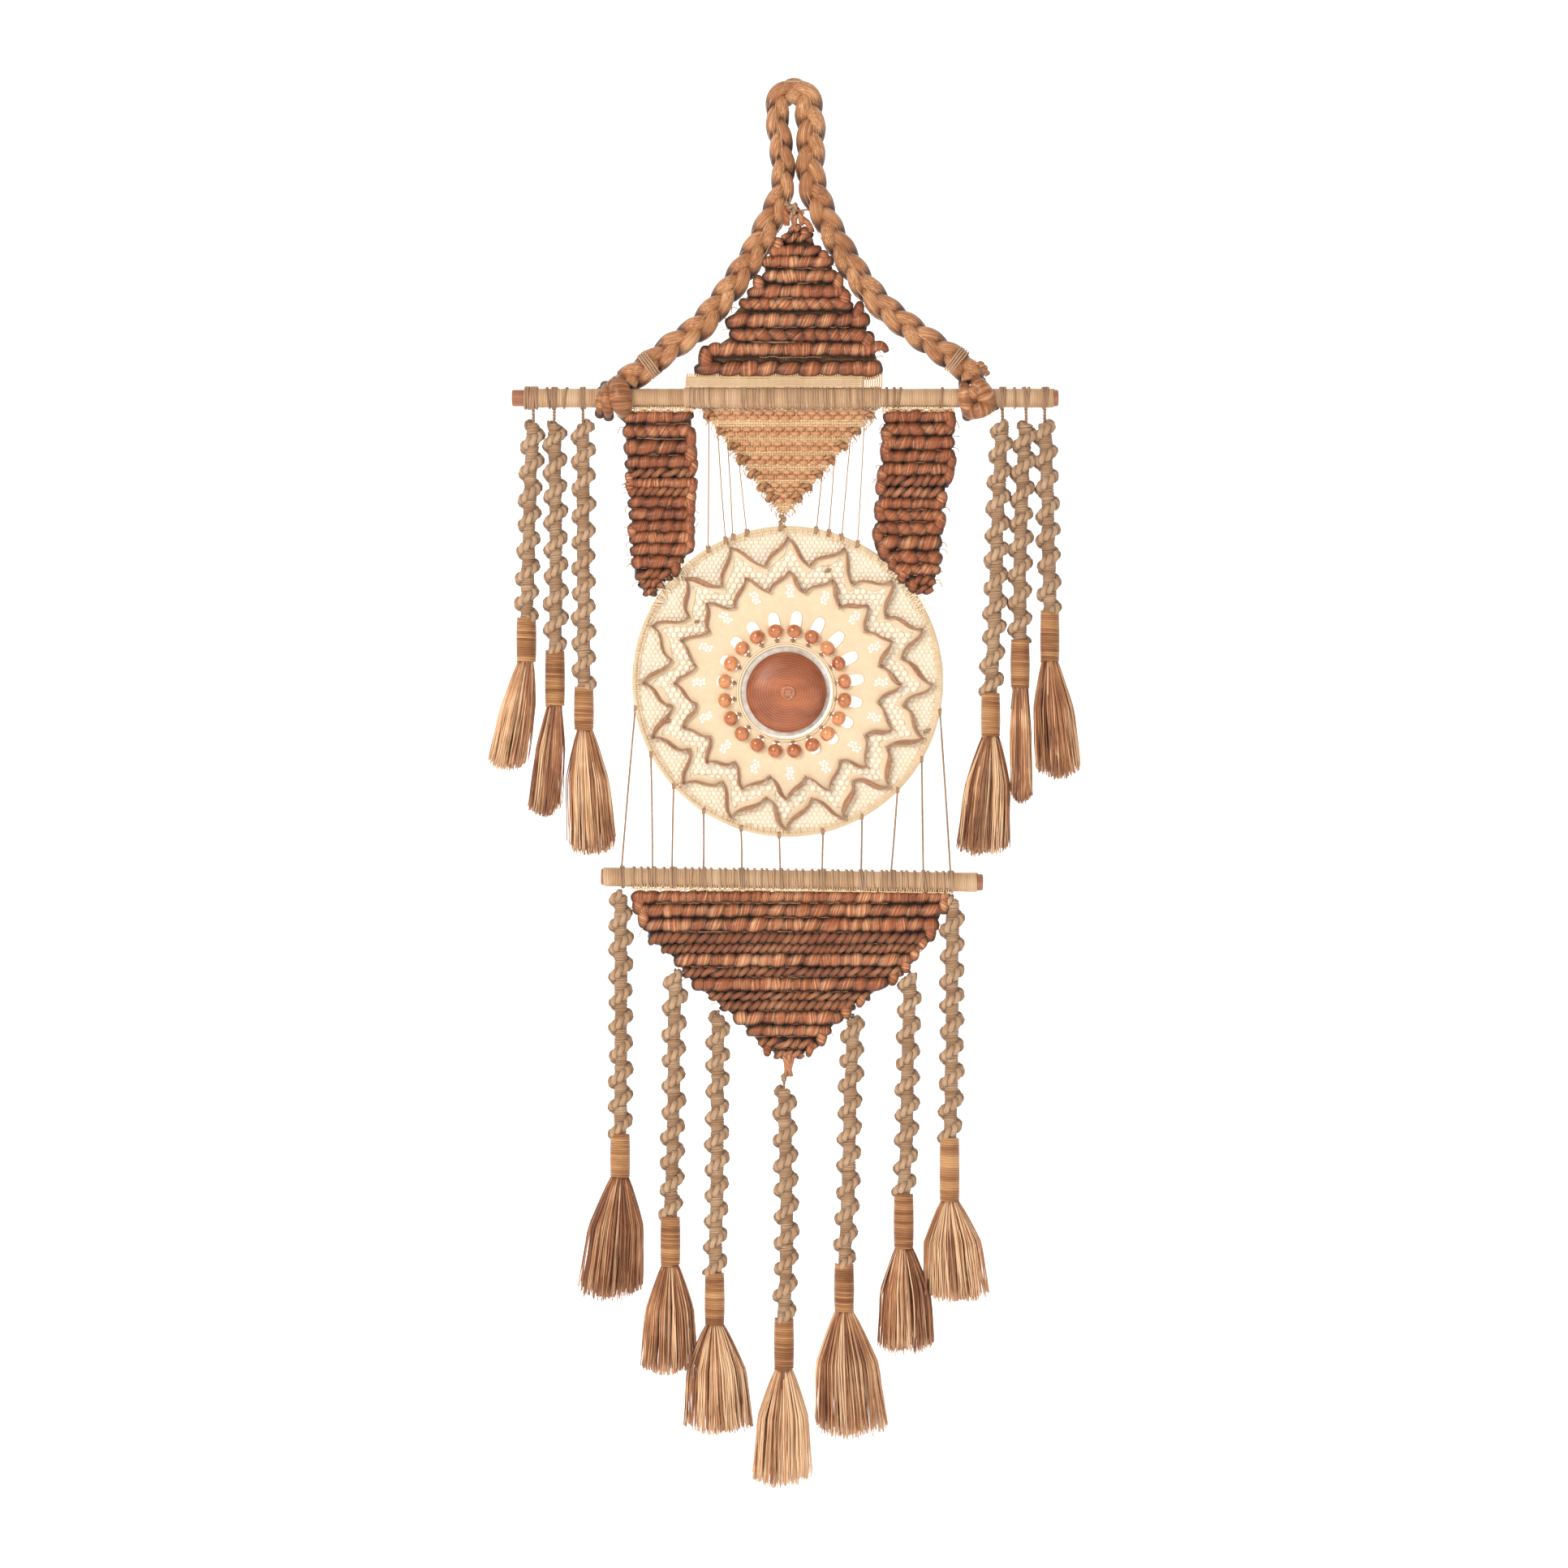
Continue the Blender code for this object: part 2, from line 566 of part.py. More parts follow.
# ---- boss and beads --------------------------------------------------------------------------------------------
seat_r, seat_t = LACE_HOLE_R - GAP, 2.0 * MM
seat = [(-seat_t / 2, 0), (-seat_t / 2, seat_r), (seat_t / 2, seat_r), (seat_t / 2, 0)]
add("boss_seat", turned(seat, 32, facing(RING_X, RING_Z)), "clear")
base = seat_t / 2 + GAP
boss = [(base, 0), (base, BOSS_R - 0.8 * MM), (base + 0.8 * MM, BOSS_R)]
for i in range(1, 10):
    t = math.radians(90 * i / 10)
    boss.append((base + 0.8 * MM + (BOSS_H - 0.8 * MM) * math.sin(t) ** 1.15, BOSS_R * math.cos(t)))
boss += [(base + BOSS_H, BOSS_R * 0.1), (base + BOSS_H + 0.7 * MM, BOSS_R * 0.06), (base + BOSS_H + 0.7 * MM, 0)]
add("centre_boss", turned(boss, 32, facing(BOSS_X, BOSS_Z)), "boss")

ring_y, wire = -(LACE_T / 2 + GAP + 0.8 * MM), 0.7 * MM
inner_r = LACE_HOLE_R + 1.6 * MM
loop = []
for i in range(6):
    t = math.tau * i / 6
    loop.append((wire * math.sin(t), inner_r + wire * math.cos(t)))
garland = [turned(loop, 40, facing(RING_X, RING_Z, ring_y), closed=True)]
for i in range(BEADS):
    turn = facing(RING_X, RING_Z, ring_y) @ Matrix.Rotation(bead_turn(i), 4, "Z")
    stem = bmesh.new()
    length = BEAD_RING_R - inner_r
    out = Matrix.Translation((inner_r + length / 2, 0, 0)) @ ALONG_X
    bmesh.ops.create_cone(
        stem, cap_ends=True, segments=5, radius1=0.6 * MM, radius2=0.6 * MM, depth=length, matrix=turn @ out
    )
    garland.append(stem)
    ball = bmesh.new()
    spot = turn @ Matrix.Translation((BEAD_RING_R, 0, 0))
    bmesh.ops.create_icosphere(ball, subdivisions=2, radius=BEAD_R, matrix=spot)
    garland.append(ball)
combine("bead_garland", garland, "UNION", key="bead")

# ---- plain weave and the warps that carry the hoop -------------------------------------------------------------
weave_top = ROD_Z - WRAP_R - HANG_GAP
WEAVE_LEFT, WEAVE_RIGHT, WEAVE_LOW = (-70.5, 64.5, -321.0)
low = down(WEAVE_LOW)
a, b, mid = across(WEAVE_LEFT), across(WEAVE_RIGHT), across(-8.0)
cloth = loft(
    [
        ((a + b) / 2, weave_top, (b - a) / 2, WEAVE_T / 2, 0.0),
        ((a + b) / 2 + 0.2 * MM, weave_top - 9 * MM, (b - a) / 2 - 3 * MM, WEAVE_T / 2, 0.0),
        (mid, low, 2.4 * MM, WEAVE_T / 2, 0.0),
    ],
    12,
    stadium=True,
)
warps = [cloth]
WARPS = [(-65.0, -65.6), (-58.4, -52.2), (-50.9, -46.6), (-42.5, -35.9), (-8.0, -9.8), (22.8, 17.8), (31.6, 27.2),
         (44.1, 37.2), (54.7, 49.4)]  # x in the cloth, x on the hoop


def hoop_at(x, out):
    """A place outside the top of the hoop at x."""
    d = (x - HOOP_X) / HOOP_R
    return Vector((x, 0, HOOP_Z + (HOOP_R + out) * math.sqrt(max(0.0, 1 - d * d))))


def cloth_edge(x):
    """Z of the cloth's slanting edge at x."""
    corner = a + 3 * MM if x < mid else b - 3 * MM
    f = (x - corner) / (mid - corner)
    return weave_top - 9 * MM + (low - weave_top + 9 * MM) * max(0.0, min(1.0, f))


for x, foot in WARPS:
    x = across(x)
    start = Vector((x, 0, cloth_edge(x) + 4 * MM))
    end = hoop_at(across(foot), THREAD_R + GAP + 0.5 * MM)
    warps.append(tube([start, end], THREAD_R, 6))
combine("plain_weave", warps, "UNION", key="plain")

# ---- strings from the hoop to the lower rod --------------------------------------------------------------------
STRINGS = [(-121.6, -132.2), (-109.7, -108.4), (-92.2, -93.4), (-69.1, -69.1), (-40.3, -39.7), (-10.9, -10.0),
           (22.8, 22.2), (52.8, 52.2), (80.3, 75.3), (98.8, 100.0), (112.8, 120.9)]
for i, (top, foot) in enumerate(STRINGS):
    d = across(top) - HOOP_X
    drop = math.sqrt(max(0.0, HOOP_R**2 - d * d))
    away = (HOOP_R + THREAD_R + GAP) / HOOP_R
    start = Vector((HOOP_X + d * away, 0, HOOP_Z - drop * away))
    x = across(foot)
    end = Vector((x, 0, bar_axis(x) + WRAP_R + GAP + 0.1 * MM))
    add(f"lower_string_{i + 1:02d}", tube([start, end], THREAD_R, 6), "thread", 60.0)

# ---- drops: twisted sinnet, binding and tassel -----------------------------------------------------------------
# name, x at top, x at bottom of the sinnet, pivot below its rod or weave, sinnet's full width, binding's x, top
# and bottom, tassel's bottom, left and right
SIDE_DROPS = [
    ("drop_a", -200.3, -204.1, -250, -205.6, -400.0, -432.5, -517.5, -237.2, -204.5),
    ("drop_b", -184.1, -182.8, -250, -183.6, -425.0, -466.3, -553.1, -205.6, -177.8),
    ("drop_c", -162.0, -161.6, -250, -161.3, -453.1, -484.4, -583.1, -177.0, -135.0),
    ("drop_d", 160.9, 155.3, -250, 151.9, -457.5, -490.0, -583.8, 124.0, 166.6),
    ("drop_e", 179.1, 174.4, -250, 174.6, -416.9, -452.5, -543.1, 166.6, 184.0),
    ("drop_f", 193.6, 196.6, -250, 197.5, -394.4, -431.9, -523.8, 186.4, 223.4),
]
LOWER_DROPS = [
    ("drop_g", -132.9, -132.8, None, -133.4, -796.9, -828.8, -925.6, -167.8, -115.3),
    ("drop_h", -90.9, -92.8, -667.5, -94.7, -860.6, -896.9, -983.1, -113.4, -80.9),
    ("drop_i", -57.8, -59.1, -699.5, -60.6, -903.8, -942.5, -1028.8, -79.1, -32.8),
    ("drop_j", -7.2, -5.3, -742.0, -7.2, -938.8, -976.9, -1069.4, -30.9, 14.7),
    ("drop_k", 45.9, 42.2, -702.5, 39.1, -896.9, -932.5, -1031.3, 16.6, 67.2),
    ("drop_l", 89.7, 87.2, -669.5, 85.0, -843.1, -883.1, -966.3, 69.1, 103.4),
    ("drop_m", 122.5, 121.9, None, 120.3, -800.0, -847.5, -926.3, 105.3, 152.8),
]


def drop(name, xs, pivot, cord_top, cord_low, bind_top, bind_low, tail_low):
    """One drop from its pivot down: thread and sinnet as one piece, binding and tassel as the other."""
    x_top, x_low, x_bind, tail_left, tail_right = xs
    thread = THREAD_R * 1.6
    cord = [
        (x_top, pivot[2] + 0.3 * MM, thread, thread, 0.0),
        (x_top, cord_top + 6.5 * MM, thread * 1.3, thread * 1.3, 0.0),
        (x_top, cord_top, CORD_R, CORD_R, 0.0),
    ]
    count = 3
    for i in range(1, count):
        f = i / (count - 1)
        cord.append((x_top + (x_low - x_top) * f, cord_top + (cord_low - cord_top) * f, CORD_R, CORD_R, 0.0))
    add(f"{name}_sinnet", loft(cord, 8), "jute", 60.0, pivot)
    mid, half = (tail_left + tail_right) / 2, (tail_right - tail_left) / 2
    span = bind_low - tail_low
    depth = min(half * 0.78, 19 * MM)
    tail = [
        (x_bind, bind_top, BINDING_R * 0.92, BINDING_R * 0.92, 0.0),
        (x_bind, bind_top - 2 * MM, BINDING_R, BINDING_R, 0.0),
        (x_bind, bind_low, BINDING_R, BINDING_R, 0.0),
    ]
    for f, wide in ((0.2, 0.34), (0.6, 0.75), (1.0, 1.0)):
        w = BINDING_R + (half - BINDING_R) * wide
        d = BINDING_R + (depth - BINDING_R) * wide
        tail.append((x_bind + (mid - x_bind) * f, bind_low - span * f, w, d, 0.0))
    add(f"{name}_tassel", loft(tail, 10), "fringe", 60.0, pivot)


side_shift = -(WRAP_R - LAID_WRAP_R)
for name, x_top, x_low, full, x_bind, bind_top, bind_low, tail_low, tl, tr in SIDE_DROPS:
    xs = [across(v) for v in (x_top, x_low, x_bind, tl, tr)]
    zs = [v * MM + side_shift for v in (full, bind_top, bind_low, tail_low)]
    drop(name, xs, (xs[0], 0.0, SWING_Z), zs[0], zs[1] + GAP, zs[1], zs[2], zs[3])

for name, x_top, x_low, hung, x_bind, bind_top, bind_low, tail_low, tl, tr in LOWER_DROPS:
    xs = [across(v) for v in (x_top, x_low, x_bind, tl, tr)]
    zs = [down(v) for v in (bind_top, bind_low, tail_low)]
    pivot_z = bar_axis(xs[0]) - WRAP_R - HANG_GAP if hung is None else down(hung)
    full = pivot_z - (22 if name == "drop_j" else 13) * MM
    drop(name, xs, (xs[0], 0.0, pivot_z), full, zs[0] + GAP, *zs)

print("objects", len(GROUP.objects))
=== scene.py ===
"""Looks of a dream catcher: a braided hanging loop, coil-woven panels, a lace hoop with beads, and tasselled drops."""
import math
import random

import bmesh
import bpy
import numpy as np
from bpy.props import FloatProperty, FloatVectorProperty, IntProperty, PointerProperty
from mathutils import Matrix, Vector


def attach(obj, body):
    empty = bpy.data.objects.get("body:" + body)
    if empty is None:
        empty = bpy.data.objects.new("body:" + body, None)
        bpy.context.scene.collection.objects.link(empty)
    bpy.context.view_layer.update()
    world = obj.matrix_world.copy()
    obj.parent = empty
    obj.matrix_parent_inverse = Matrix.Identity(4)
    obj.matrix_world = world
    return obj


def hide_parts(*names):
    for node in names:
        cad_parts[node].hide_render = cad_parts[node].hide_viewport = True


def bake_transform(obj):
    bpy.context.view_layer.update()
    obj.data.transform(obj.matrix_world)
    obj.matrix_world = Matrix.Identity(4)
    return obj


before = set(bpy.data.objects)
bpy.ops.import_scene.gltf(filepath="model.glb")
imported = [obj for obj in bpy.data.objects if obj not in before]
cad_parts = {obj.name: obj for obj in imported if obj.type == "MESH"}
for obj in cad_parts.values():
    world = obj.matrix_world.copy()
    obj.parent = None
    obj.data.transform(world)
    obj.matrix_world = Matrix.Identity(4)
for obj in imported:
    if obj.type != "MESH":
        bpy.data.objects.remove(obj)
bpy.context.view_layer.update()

bl_info = {
    "name": "Dream Catcher Maker",
    "version": (1, 0, 0),
    "blender": (4, 5, 0),
    "location": "3D View > Sidebar > Dream Catcher",
    "description": "Builds the braid, weaving, lace, beads and tassels of a dream catcher on its frame",
    "category": "Object",
}

MM = 0.001
TAU = 2 * math.pi

# ---------------------------------------------------------------- places, in millimetres, as in the CAD
ROD_Z, ROD_LEFT, ROD_RIGHT = -229.1, -216.6, 204.0
BAR_X, BAR_Z, BAR_LENGTH, BAR_TILT = -1.1, -599.9, 294.0, math.radians(0.85)
HOOP_X, HOOP_Z, HOOP_R = -4.4, -447.3, 119.7
BOSS_X, BOSS_Z, BOSS_R, BOSS_H = -5.4, -455.6, 31.0, 13.5
BEADS_X, BEADS_Z, BEADS_R = -6.6, -454.7, 46.6
LEG = [
    (-12.6, 12.7, -10), (-10.5, 13.6, -27.5), (-8.4, 13.3, -45.6), (-8.0, 14.2, -64), (-12.4, 19.7, -79.4),
    (-20.9, 29.1, -99.4), (-31.6, 39.7, -119.4), (-44.7, 52.8, -139.4), (-59.7, 69.7, -159.4),
    (-72.8, 89.7, -175), (-93.4, 109.7, -189.4),
]
OVER_THE_TOP = [(-9.6, 3.4), (0, 9.5), (9.4, 3.6)]
KNOTS = {"left_knot": -137.4, "right_knot": 141.6}
STRINGS = [
    (-121.6, -132.2), (-109.7, -108.4), (-92.2, -93.4), (-69.1, -69.1), (-40.3, -39.7), (-10.9, -10),
    (22.8, 22.2), (52.8, 52.2), (80.3, 75.3), (98.8, 100), (112.8, 120.9),
]
CLOTH_TOP, CLOTH_LEFT, CLOTH_RIGHT, CLOTH_TIP = -237.7, -70.5, 64.5, (-8.0, -321.0)
WARPS = [
    (-65, -65.6), (-58.4, -52.2), (-50.9, -46.6), (-42.5, -35.9), (-8, -9.8), (22.8, 17.8), (31.6, 27.2),
    (44.1, 37.2), (54.7, 49.4),
]
# rows of thick coil: height, thickness of the row, and how far it runs left and right
UPPER_ROWS = [
    (-99.2, 3.4, -5, 7), (-106.3, 3.9, -11.6, 17.2), (-116.3, 4.4, -19.1, 22.2), (-124.6, 4.6, -25, 31.8),
    (-135.6, 5.3, -25, 35), (-147.5, 5.0, -36.5, 41), (-157.2, 4.7, -42.4, 46.8), (-169.6, 6.0, -54, 60.5),
    (-181.2, 5.4, -50.6, 58.7), (-192.0, 5.2, -66.8, 65), (-206.9, 6.9, -78.7, 70.6),
]
LEFT_ROWS = [
    (-243.8, 5.0), (-255.0, 5.2), (-267.4, 5.6), (-278.8, 4.9), (-287.3, 4.1), (-294.8, 3.7), (-301.6, 3.9),
    (-309.6, 4.5), (-318.8, 4.9), (-328.0, 4.7), (-336.9, 4.6), (-345.9, 4.9), (-355.6, 5.0), (-364.8, 4.3),
    (-372.0, 3.7), (-378.6, 3.3),
]
LEFT_EDGE = [(-132.8, -240), (-131.6, -269.4), (-129.1, -291.3), (-127.8, -314.4), (-126.6, -348.1),
             (-123.4, -368.1), (-114.7, -383.1)]
LEFT_INNER = [(-75.9, -241.3), (-73.4, -291.3), (-75.9, -314.4), (-75.9, -346.3), (-90.9, -365), (-105.9, -381.9)]
RIGHT_ROWS = [
    (-243.4, 4.8), (-253.4, 5.1), (-264.0, 5.3), (-274.4, 5.0), (-284.2, 4.8), (-293.4, 4.4), (-302.0, 4.3),
    (-310.9, 4.6), (-320.0, 4.6), (-329.8, 5.3), (-340.8, 6.2), (-352.0, 5.2), (-361.3, 4.5), (-369.9, 4.3),
    (-377.4, 3.5),
]
RIGHT_INNER = [(68.4, -238.8), (67.8, -262.5), (65.3, -283.1), (62.2, -306.3), (62.2, -325.6), (59.1, -337.5),
               (64.1, -346.3), (74.7, -358.8), (85.3, -371.3), (99.1, -383.1)]
RIGHT_EDGE = [(124.7, -241.3), (124.7, -250), (125.3, -283.1), (118.4, -302.5), (116.6, -330.6),
              (115.3, -355.6), (110.9, -373.1), (106.6, -385)]
LOWER_ROWS = [
    (-613.1, 4.6), (-623.6, 5.2), (-634.6, 5.5), (-645.0, 4.4), (-652.9, 3.5), (-661.6, 5.3), (-671.0, 3.7),
    (-680.3, 5.3), (-689.5, 3.3), (-696.3, 4.1), (-706.0, 5.3), (-716.3, 4.5), (-725.9, 4.2), (-734.2, 3.5),
]
LOWER_LEFT = [(-126.6, -610), (-113.4, -645), (-94.7, -659.4), (-82.2, -678.1), (-63.4, -692.5),
              (-40.9, -711.3), (-25.9, -730), (-7.8, -738.1)]
LOWER_RIGHT = [(122.2, -610), (114.7, -632.5), (85.9, -671.9), (67.2, -685.6), (48.4, -696.9), (35.9, -709.4),
               (21.6, -725.6), (4.7, -738.1)]
# drops: x and z at the top, x lower down, x and z of the binding, tassel end, and how wide it spreads
DROPS = {
    "a": (-200.3, -237.7, -204.1, -205.6, -400, -432.5, -517.5, -237.2, -204.5),
    "b": (-184.1, -237.7, -182.8, -183.6, -425, -466.3, -553.1, -205.6, -177.8),
    "c": (-162, -237.7, -161.6, -161.3, -453.1, -484.4, -583.1, -177, -135),
    "d": (160.9, -237.7, 155.3, 151.9, -457.5, -490, -583.8, 124, 166.6),
    "e": (179.1, -237.7, 174.4, 174.6, -416.9, -452.5, -543.1, 166.6, 184),
    "f": (193.6, -237.7, 196.6, 197.5, -394.4, -431.9, -523.8, 186.4, 223.4),
    "g": (-132.9, -606.55, -132.8, -133.4, -796.9, -828.8, -925.6, -167.8, -115.3),
    "h": (-90.9, -667.5, -92.8, -94.7, -860.6, -896.9, -983.1, -118.9, -73.4),
    "i": (-57.8, -699.5, -59.1, -60.6, -903.8, -942.5, -1028.8, -85.9, -29.7),
    "j": (-7.2, -742, -5.3, -7.2, -938.8, -976.9, -1069.4, -32.8, 15.9),
    "k": (45.9, -702.5, 42.2, 39.1, -896.9, -932.5, -1031.3, 15.9, 74.7),
    "l": (89.7, -669.5, 87.2, 85, -843.1, -883.1, -966.3, 63.4, 110.3),
    "m": (122.5, -610.33, 121.9, 120.3, -800, -847.5, -926.3, 99.1, 152.8),
}


def bar_z(x):
    """Height of the lower rod's axis at x, because the rod hangs a little lower on the right."""
    return BAR_Z - (x - BAR_X) * math.tan(BAR_TILT)


# ---------------------------------------------------------------- paths
def even(points, step):
    """The same path as evenly spaced points, about a step apart."""
    p = np.array([tuple(q) for q in points], dtype=float)
    s = np.concatenate(([0.0], np.cumsum(np.linalg.norm(np.diff(p, axis=0), axis=1))))
    t = np.linspace(0, s[-1], max(2, round(s[-1] / step) + 1))
    return np.stack([np.interp(t, s, p[:, k]) for k in range(3)], axis=1)


def smooth_path(points, step):
    """A smooth path through the points, evenly spaced."""
    pts = [Vector(p) for p in points]
    ends = [2 * pts[0] - pts[1]] + pts + [2 * pts[-1] - pts[-2]]
    fine = []
    for a, b, c, d in zip(ends, ends[1:], ends[2:], ends[3:]):
        for k in range(16):
            t = k / 16
            fine.append(0.5 * (2 * b + (c - a) * t + (2 * a - 5 * b + 4 * c - d) * t * t
                               + (3 * b - a - 3 * c + d) * t ** 3))
    return even(fine + [pts[-1]], step)


def path_length(points):
    return float(np.sum(np.linalg.norm(np.diff(points, axis=0), axis=1)))


def along(points):
    """Distance along a path at each of its points."""
    return np.concatenate(([0.0], np.cumsum(np.linalg.norm(np.diff(points, axis=0), axis=1))))


def sample(t, s, values):
    """Points or directions read off at distances t along a path, given at distances s."""
    return np.stack([np.interp(t, s, values[:, k]) for k in range(3)], axis=1)


def directions(points):
    t = np.gradient(points, axis=0)
    return t / np.maximum(np.linalg.norm(t, axis=1, keepdims=True), 1e-9)


def side_frame(points):
    """Two directions square to a path: one sideways, and one nearest to straight back."""
    t = directions(points)
    side = np.cross(np.array((0, 1, 0), dtype=float), t)
    side /= np.maximum(np.linalg.norm(side, axis=1, keepdims=True), 1e-9)
    return side, np.cross(t, side)


def edge_x(edge, z):
    """Where an edge, given as points from its top down, stands at height z."""
    zs = [-p[1] for p in edge]
    return float(np.interp(-z, zs, [p[0] for p in edge]))


def slow_noise(rng, n, knots=6):
    """A smooth random wander between -1 and 1, as n numbers."""
    values = [rng.uniform(-1, 1) for _ in range(max(2, knots))]
    x = np.linspace(0, len(values) - 1, n)
    i = np.minimum(x.astype(int), len(values) - 2)
    f = x - i
    f = f * f * (3 - 2 * f)
    v = np.array(values)
    return v[i] * (1 - f) + v[i + 1] * f


# ---------------------------------------------------------------- pieces
def line(points, radius, tilt=0.0, shade=1.0, tone=0.5):
    """One strand: its path, thickness, turn of its fibres, its painted shade (how much darker it is painted where it
    would lie in shade), and how pale it is.
    """
    n = len(points)
    full = lambda v: np.full(n, float(v)) if np.isscalar(v) else np.asarray(v, dtype=float)
    return np.asarray(points, dtype=float), full(radius), full(tilt), full(shade), full(tone)


def add_object(name, mesh, material=None):
    piece = bpy.data.objects.new(name, mesh)
    bpy.context.scene.collection.objects.link(piece)
    if material:
        mesh.materials.clear()
        mesh.materials.append(material)
    return piece


def curve_mesh(name, curve):
    """A curve's mesh, and nothing left of the curve."""
    carrier = bpy.data.objects.new(name + "_curve", curve)
    bpy.context.scene.collection.objects.link(carrier)
    depsgraph = bpy.context.evaluated_depsgraph_get()
    mesh = bpy.data.meshes.new_from_object(carrier.evaluated_get(depsgraph), depsgraph=depsgraph)
    bpy.data.objects.remove(carrier)
    bpy.data.curves.remove(curve)
    mesh.name = name
    return mesh


def weld(mesh, distance=1e-7, outward=False):
    work = bmesh.new()
    work.from_mesh(mesh)
    bmesh.ops.remove_doubles(work, verts=work.verts, dist=distance)
    if outward:
        bmesh.ops.recalc_face_normals(work, faces=work.faces)
    work.to_mesh(mesh)
    work.free()


def strands(name, lines, material, sides=8, closed=False):
    """Round strands as one piece. Its UV runs once round a strand, and in millimetres along it."""
    curve = bpy.data.curves.new(name, "CURVE")
    curve.dimensions = "3D"
    curve.twist_mode = "MINIMUM"
    curve.bevel_depth = MM
    curve.bevel_resolution = (sides - 4) // 2
    curve.use_fill_caps = not closed
    for points, radius, tilt, _, _ in lines:
        n = len(points)
        spline = curve.splines.new("POLY")
        spline.points.add(n - 1)
        spline.use_cyclic_u = closed
        co = np.ones((n, 4), dtype=np.float32)
        co[:, :3] = points * MM
        spline.points.foreach_set("co", co.ravel())
        spline.points.foreach_set("radius", radius.astype(np.float32))
        spline.points.foreach_set("tilt", tilt.astype(np.float32))
    mesh = curve_mesh(name, curve)
    uv = np.empty(len(mesh.loops) * 2, dtype=np.float32)
    mesh.uv_layers[0].uv.foreach_get("vector", uv)
    uv = uv.reshape(-1, 2)
    caps = 0 if closed else 2 * (sides - 2) * 3 * len(lines)
    lengths = [np.full((len(l[0]) - (0 if closed else 1)) * sides * 4, path_length(l[0])) for l in lines]
    uv[caps:, 1] *= np.concatenate(lengths)
    mesh.uv_layers[0].uv.foreach_set("vector", uv.ravel())
    # each point carries its painted shade and its tone, for the fibre material to read
    for slot, label in ((3, "shade"), (4, "tone")):
        ends = [] if closed else [np.repeat([l[slot][0], l[slot][-1]], sides) for l in lines]
        values = np.concatenate(ends + [np.repeat(l[slot], sides) for l in lines])
        layer = mesh.attributes.new(label, "FLOAT", "POINT")
        layer.data.foreach_set("value", values.astype(np.float32))
    weld(mesh)
    return add_object(name, mesh, material)


def flat_shape(name, outlines, front, thickness, material):
    """A flat shape with holes, standing upright, cut from outlines of (x, z) points."""
    curve = bpy.data.curves.new(name, "CURVE")
    curve.dimensions = "2D"
    curve.fill_mode = "BOTH"
    curve.extrude = thickness / 2 * MM
    for outline in outlines:
        spline = curve.splines.new("POLY")
        spline.points.add(len(outline) - 1)
        spline.use_cyclic_u = True
        spline.points.foreach_set("co", [v for x, z in outline for v in (x * MM, z * MM, 0.0, 1.0)])
    mesh = curve_mesh(name, curve)
    mesh.transform(Matrix.Translation((0, (front + thickness / 2) * MM, 0)) @ Matrix.Rotation(math.pi / 2, 4, "X"))
    weld(mesh, 2e-7, outward=True)
    return add_object(name, mesh, material)


def lathe(work, profile, steps, matrix):
    """Turn a profile of (radius, height) into a round solid inside a mesh being made."""
    verts = [work.verts.new((r * MM, 0, h * MM)) for r, h in profile]
    edges = [work.edges.new(pair) for pair in zip(verts, verts[1:])]
    bmesh.ops.spin(work, geom=verts + edges, cent=(0, 0, 0), axis=(0, 0, 1), angle=TAU, steps=steps,
                   use_merge=True, use_normal_flip=False)
    turned = set(verts)
    for face in work.faces:
        if not face.tag:
            face.tag = True
            turned.update(face.verts)
    bmesh.ops.remove_doubles(work, verts=list(turned), dist=1e-7)
    turned = [v for v in turned if v.is_valid]
    bmesh.ops.transform(work, matrix=matrix, verts=turned)
    return turned


def finish_mesh(name, work, material):
    """A piece from the mesh being made, with its faces outward and shaded smooth."""
    bmesh.ops.recalc_face_normals(work, faces=work.faces)
    mesh = bpy.data.meshes.new(name)
    work.to_mesh(mesh)
    work.free()
    mesh.polygons.foreach_set("use_smooth", [True] * len(mesh.polygons))
    return add_object(name, mesh, material)


def set_tone(piece, values):
    piece.data.attributes.new("tone", "FLOAT", "POINT").data.foreach_set("value", values)


def helix(centre, radius, turns, step):
    """Points that wind round a path: centre is an even path, radius its distance off, step the points a turn."""
    s = along(centre)
    n = max(8, int(abs(turns) * step))
    t = np.linspace(0, s[-1], n)
    side, back = side_frame(centre)
    c, sd, bk = sample(t, s, centre), sample(t, s, side), sample(t, s, back)
    r = np.interp(t, s, radius) if not np.isscalar(radius) else np.full(n, float(radius))
    a = TAU * turns * t / s[-1]
    return c + sd * (r * np.cos(a))[:, None] - bk * (r * np.sin(a))[:, None]


def plied(path, radius, pitch, rng, tone=0.5, step=0.8, flat=1.0, wander=0.0, painted_shade_back=0.35):
    """Two strands twisted about each other along a path, as a rope is laid, with painted shade where each turns to the
    back. Radius is the whole rope's.
    """
    path = even(path, step)
    n = len(path)
    side, back = side_frame(path)
    s = along(path)
    r = np.full(n, float(radius)) if np.isscalar(radius) else np.interp(np.linspace(0, 1, n),
                                                                       np.linspace(0, 1, len(radius)), radius)
    phase = TAU * s / pitch + slow_noise(rng, n, 3 + int(s[-1] / 18)) * wander + rng.uniform(0, TAU)
    out = []
    for k in range(2):
        a = phase + TAU * k / 2
        points = path + side * (r * 0.46 * np.cos(a))[:, None] - back * (r * 0.46 * flat * np.sin(a))[:, None]
        # painted shade: a ply is darkest where it turns to the back, and lit at the front
        front = 0.5 + 0.5 * np.sin(a)
        shade = painted_shade_back + (1 - painted_shade_back) * front
        swell = 0.60 + 0.05 * np.cos(2 * a)
        out.append(line(points, r * swell, tilt=-phase, shade=shade, tone=tone + rng.uniform(-0.12, 0.12)))
    return out


